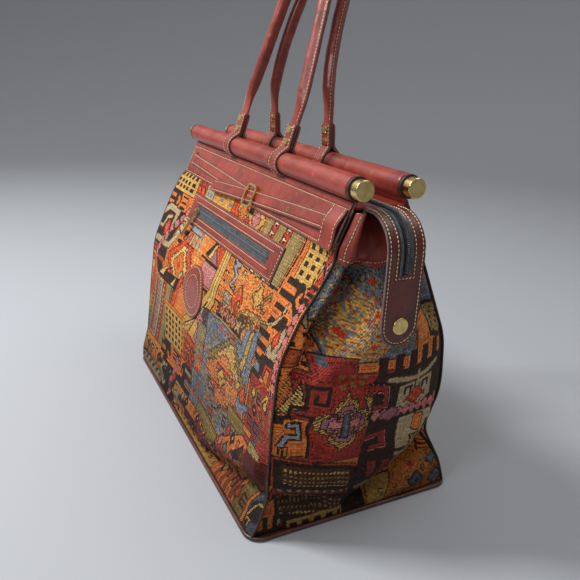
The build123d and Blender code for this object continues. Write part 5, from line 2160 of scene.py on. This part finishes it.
slope_mark = flat_edges(slope_out)
rear_slope_mark = flat_edges(slope_out * MIRROR_Y)
for bar in BARS:
    sleeve = bar + "_sleeve"
    leather_piece(sleeve, "bag", 1.5, red_leather, bag_row_tree, shape=bar_round, ripple=0.22, rounds=6)
for node, cell, mark, ripple in (
    ("front_band", 1.0, slope_mark, 0.7),
    ("back_band", 1.2, rear_slope_mark, 0.7),
    ("buckle_strap", 0.8, slope_mark, 0.25),
    ("tongue_strap", 0.8, slope_mark, 0.25),
    ("pocket_frame", 0.8, slope_mark, 0.25),
):
    leather_piece(node, "bag", cell, red_leather, bag_row_tree, mark, ripple=ripple)
leather_piece("stitched_patch", "bag", 0.8, red_leather, bag_row_tree, shape=follow_wall, ripple=0.2)
for side in (1, -1):
    side_band_piece(side, red_leather, bag_row_tree)
    piping_piece(-1, side, dark_trim)
    piping_piece(1, side, dark_trim)
end_strip_piece(red_leather, bag_row_tree)
for side in ("right", "left"):
    leather_piece(side + "_tongue", "bag", 1.0, dark_leather, bag_row_tree, side_edges(1), ripple=0.6)
for bar in BARS:
    body = bar + "_handle"
    handle_piece(bar, red_leather, handle_row_trees[bar])
    for side in ("left", "right"):
        leather_piece(
            f"{bar}_{side}_loop", body, 0.8, red_leather, handle_row_trees[bar], side_edges(0), ripple=0.2
        )

beads = bead_tree()
stitch_size = (stitch_thickness, stitch_thickness, stitch_length)
bag_stitches = bead_piece("bag_stitches", all_bag_rows, beads, stitch_pitch, stitch_size, cream_thread)
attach(bag_stitches, "bag")
for bar, rows in loop_row_lists.items():
    stitches = bead_piece(bar + "_handle_stitches", rows, beads, stitch_pitch, stitch_size, cream_thread)
    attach(stitches, bar + "_handle")


def mouth_row(y, lift):
    """A line along the mouth zip and down into both tongues."""
    run = np.linspace(0, tongue_run[-1] - zip_tail, zip_steps)
    right = tongue_point(run, y) + np.array([lift, 0, lift])
    return np.concatenate([(right * MIRROR_X)[::-1], right])


def pocket_row(drop, lift):
    """A line along the pocket zip."""
    x = np.linspace(-pocket_window_half_length + 1, pocket_window_half_length - 1, zip_steps)
    return slope_point(x, pocket_drop + drop, lift)


top_ribs = [mouth_row(y, -top_rib_depth) for y in top_rib_places]
pocket_ribs = [pocket_row(drop, pocket_rib_lift) for drop in pocket_rib_places]
for name, rows in (("top_tape_ribs", top_ribs), ("pocket_tape_ribs", pocket_ribs)):
    settle(bead_piece(name, rows, beads, rib_pitch, rib_size, painted_rib_highlight), "bag", "zip")
top_line = mouth_row(0, coil_lift)
pocket_line = pocket_row(0, pocket_coil_lift)
for name, line, pitch, size, node in (
    ("top_coil_teeth", top_line, 2.0, (6.4, 2.4, 1.3), "top_zip_coil"),
    ("pocket_coil_teeth", pocket_line, 1.7, (2.4, 4.6, 1.35), "pocket_zip_coil"),
):
    settle(bead_piece(name, [line], beads, pitch, size, zip_coil), "bag", "zip", node)

dress_nodes(
    brass,
    "brass",
    "front_right_cap", "front_left_cap", "rear_right_cap", "rear_left_cap",
    "front_handle_rivets", "rear_handle_rivets", "buckle_frame", "buckle_prong", "strap_eyelet",
    "right_snap_cap", "left_snap_cap", "right_snap_post", "left_snap_post",
    "top_slider", "top_pull", "pocket_slider", "pocket_pull",
)
dress_nodes(dark_trim, "dark_trim", "bar_end_rings")
dress_nodes(base_leather, "leather", "base_panel", "base_piping")
dress_nodes(red_leather, "leather", "front_zip_facing", "rear_zip_facing")
dress_nodes(zip_cloth, "zip", "top_zip_tape", "pocket_zip_tape")
dress_nodes(plain_wood, "wood", "front_dowel", "rear_dowel")
dress_nodes(lining_cloth, "lining", "base_board", "pocket_pouch")


# Floor, lights and camera, in metres

backdrop_flat = 2.6
backdrop_bend = 1.6
backdrop_reach = backdrop_flat + backdrop_bend
backdrop_height = 2.6


def studio_floor():
    """A wide pale floor that curves up into a round backdrop."""
    sides = 96
    bend = np.linspace(0, math.pi / 2, 25)
    reach = np.concatenate([[0.4, 1.2, 2.0], backdrop_flat + backdrop_bend * np.sin(bend), [backdrop_reach]])
    height = np.concatenate([[0, 0, 0], backdrop_bend * (1 - np.cos(bend)), [backdrop_height]])
    angles = np.linspace(0, 2 * math.pi, sides, endpoint=False)
    rings = np.stack([
        reach[:, None] * np.cos(angles), reach[:, None] * np.sin(angles), height[:, None] + 0 * angles
    ], -1)
    faces = [tuple(range(sides))] + ring_faces(len(reach), sides, inward=True)
    mesh = bpy.data.meshes.new("floor")
    mesh.from_pydata(rings.reshape(-1, 3).tolist(), [], faces)
    mesh.shade_smooth()
    material = bpy.data.materials.new("pale_floor")
    material.use_nodes = True
    shader = material.node_tree.nodes["Principled BSDF"]
    shader.inputs["Base Color"].default_value = linear(FLOOR_GREY)
    shader.inputs["Roughness"].default_value = 0.8
    shader.inputs["Specular IOR Level"].default_value = 0.1
    mesh.materials.append(material)
    new_piece("floor", mesh)


def soft_lamp(name, place, target, size, power):
    """A square studio light aimed at a point."""
    data = bpy.data.lights.new(name, "AREA")
    data.size = size
    data.energy = power
    lamp = new_piece(name, data)
    lamp.location = place
    lamp.rotation_euler = (Vector(target) - Vector(place)).to_track_quat("-Z", "Y").to_euler()


def photo_camera():
    """The camera at the photograph's place, aim and framing."""
    picture = 580
    focal_pixels = 617.55
    centre = (295.32, 292.11)
    place = Vector((763.81, -358.15, 505.94)) * MM
    yaw, pitch, roll = 1.0958, 0.351, -0.0469
    ahead = Vector((-math.sin(yaw) * math.cos(pitch), math.cos(yaw) * math.cos(pitch), -math.sin(pitch)))
    level = Vector((math.cos(yaw), math.sin(yaw), 0))
    down = ahead.cross(level)
    right = level * math.cos(roll) + down * math.sin(roll)
    up = level * math.sin(roll) - down * math.cos(roll)
    data = bpy.data.cameras.new("photo_camera")
    data.sensor_width = 36
    data.lens = data.sensor_width * focal_pixels / picture
    data.shift_x = (picture / 2 - centre[0]) / picture
    data.shift_y = (centre[1] - picture / 2) / picture
    data.clip_start = 0.01
    camera = new_piece("photo_camera", data)
    camera.matrix_world = Matrix((right, up, -ahead)).transposed().to_4x4()
    camera.location = place
    bpy.context.scene.camera = camera


def studio_dome():
    """Even grey surroundings, brighter overhead than at the floor's far edge."""
    world = bpy.data.worlds.new("studio")
    bpy.context.scene.world = world
    world.use_nodes = True
    s = Shader(world.node_tree)
    shader = world.node_tree.nodes["Background"]
    shader.inputs["Color"].default_value = (1.0, 0.98, 0.95, 1)
    parts = s.node("ShaderNodeSeparateXYZ")
    s.link(s.node("ShaderNodeTexCoord").outputs["Generated"], parts.inputs["Vector"])
    s.link(s.band(parts.outputs["Z"], 0.05, 0.9, 0.12, 0.5), shader.inputs["Strength"])


# Lamps: name, place, target, size and power
LAMPS = [
    ("key", (-0.6, -1.1, 1.85), (0, -0.05, 0.32), 0.5, 46),
    ("side", (-1.7, -0.7, 1.2), (0, -0.1, 0.36), 1.5, 2.5),
    ("fill", (0.85, -1.75, 1.3), (0.2, -0.05, 0.26), 0.5, 9),
    ("rim", (0.3, 0.9, 1.9), (0, 0, 0.35), 0.9, 6),
]

studio_floor()
for lamp in LAMPS:
    soft_lamp(*lamp)
photo_camera()
studio_dome()

bpy.context.scene.view_settings.view_transform = "Standard"
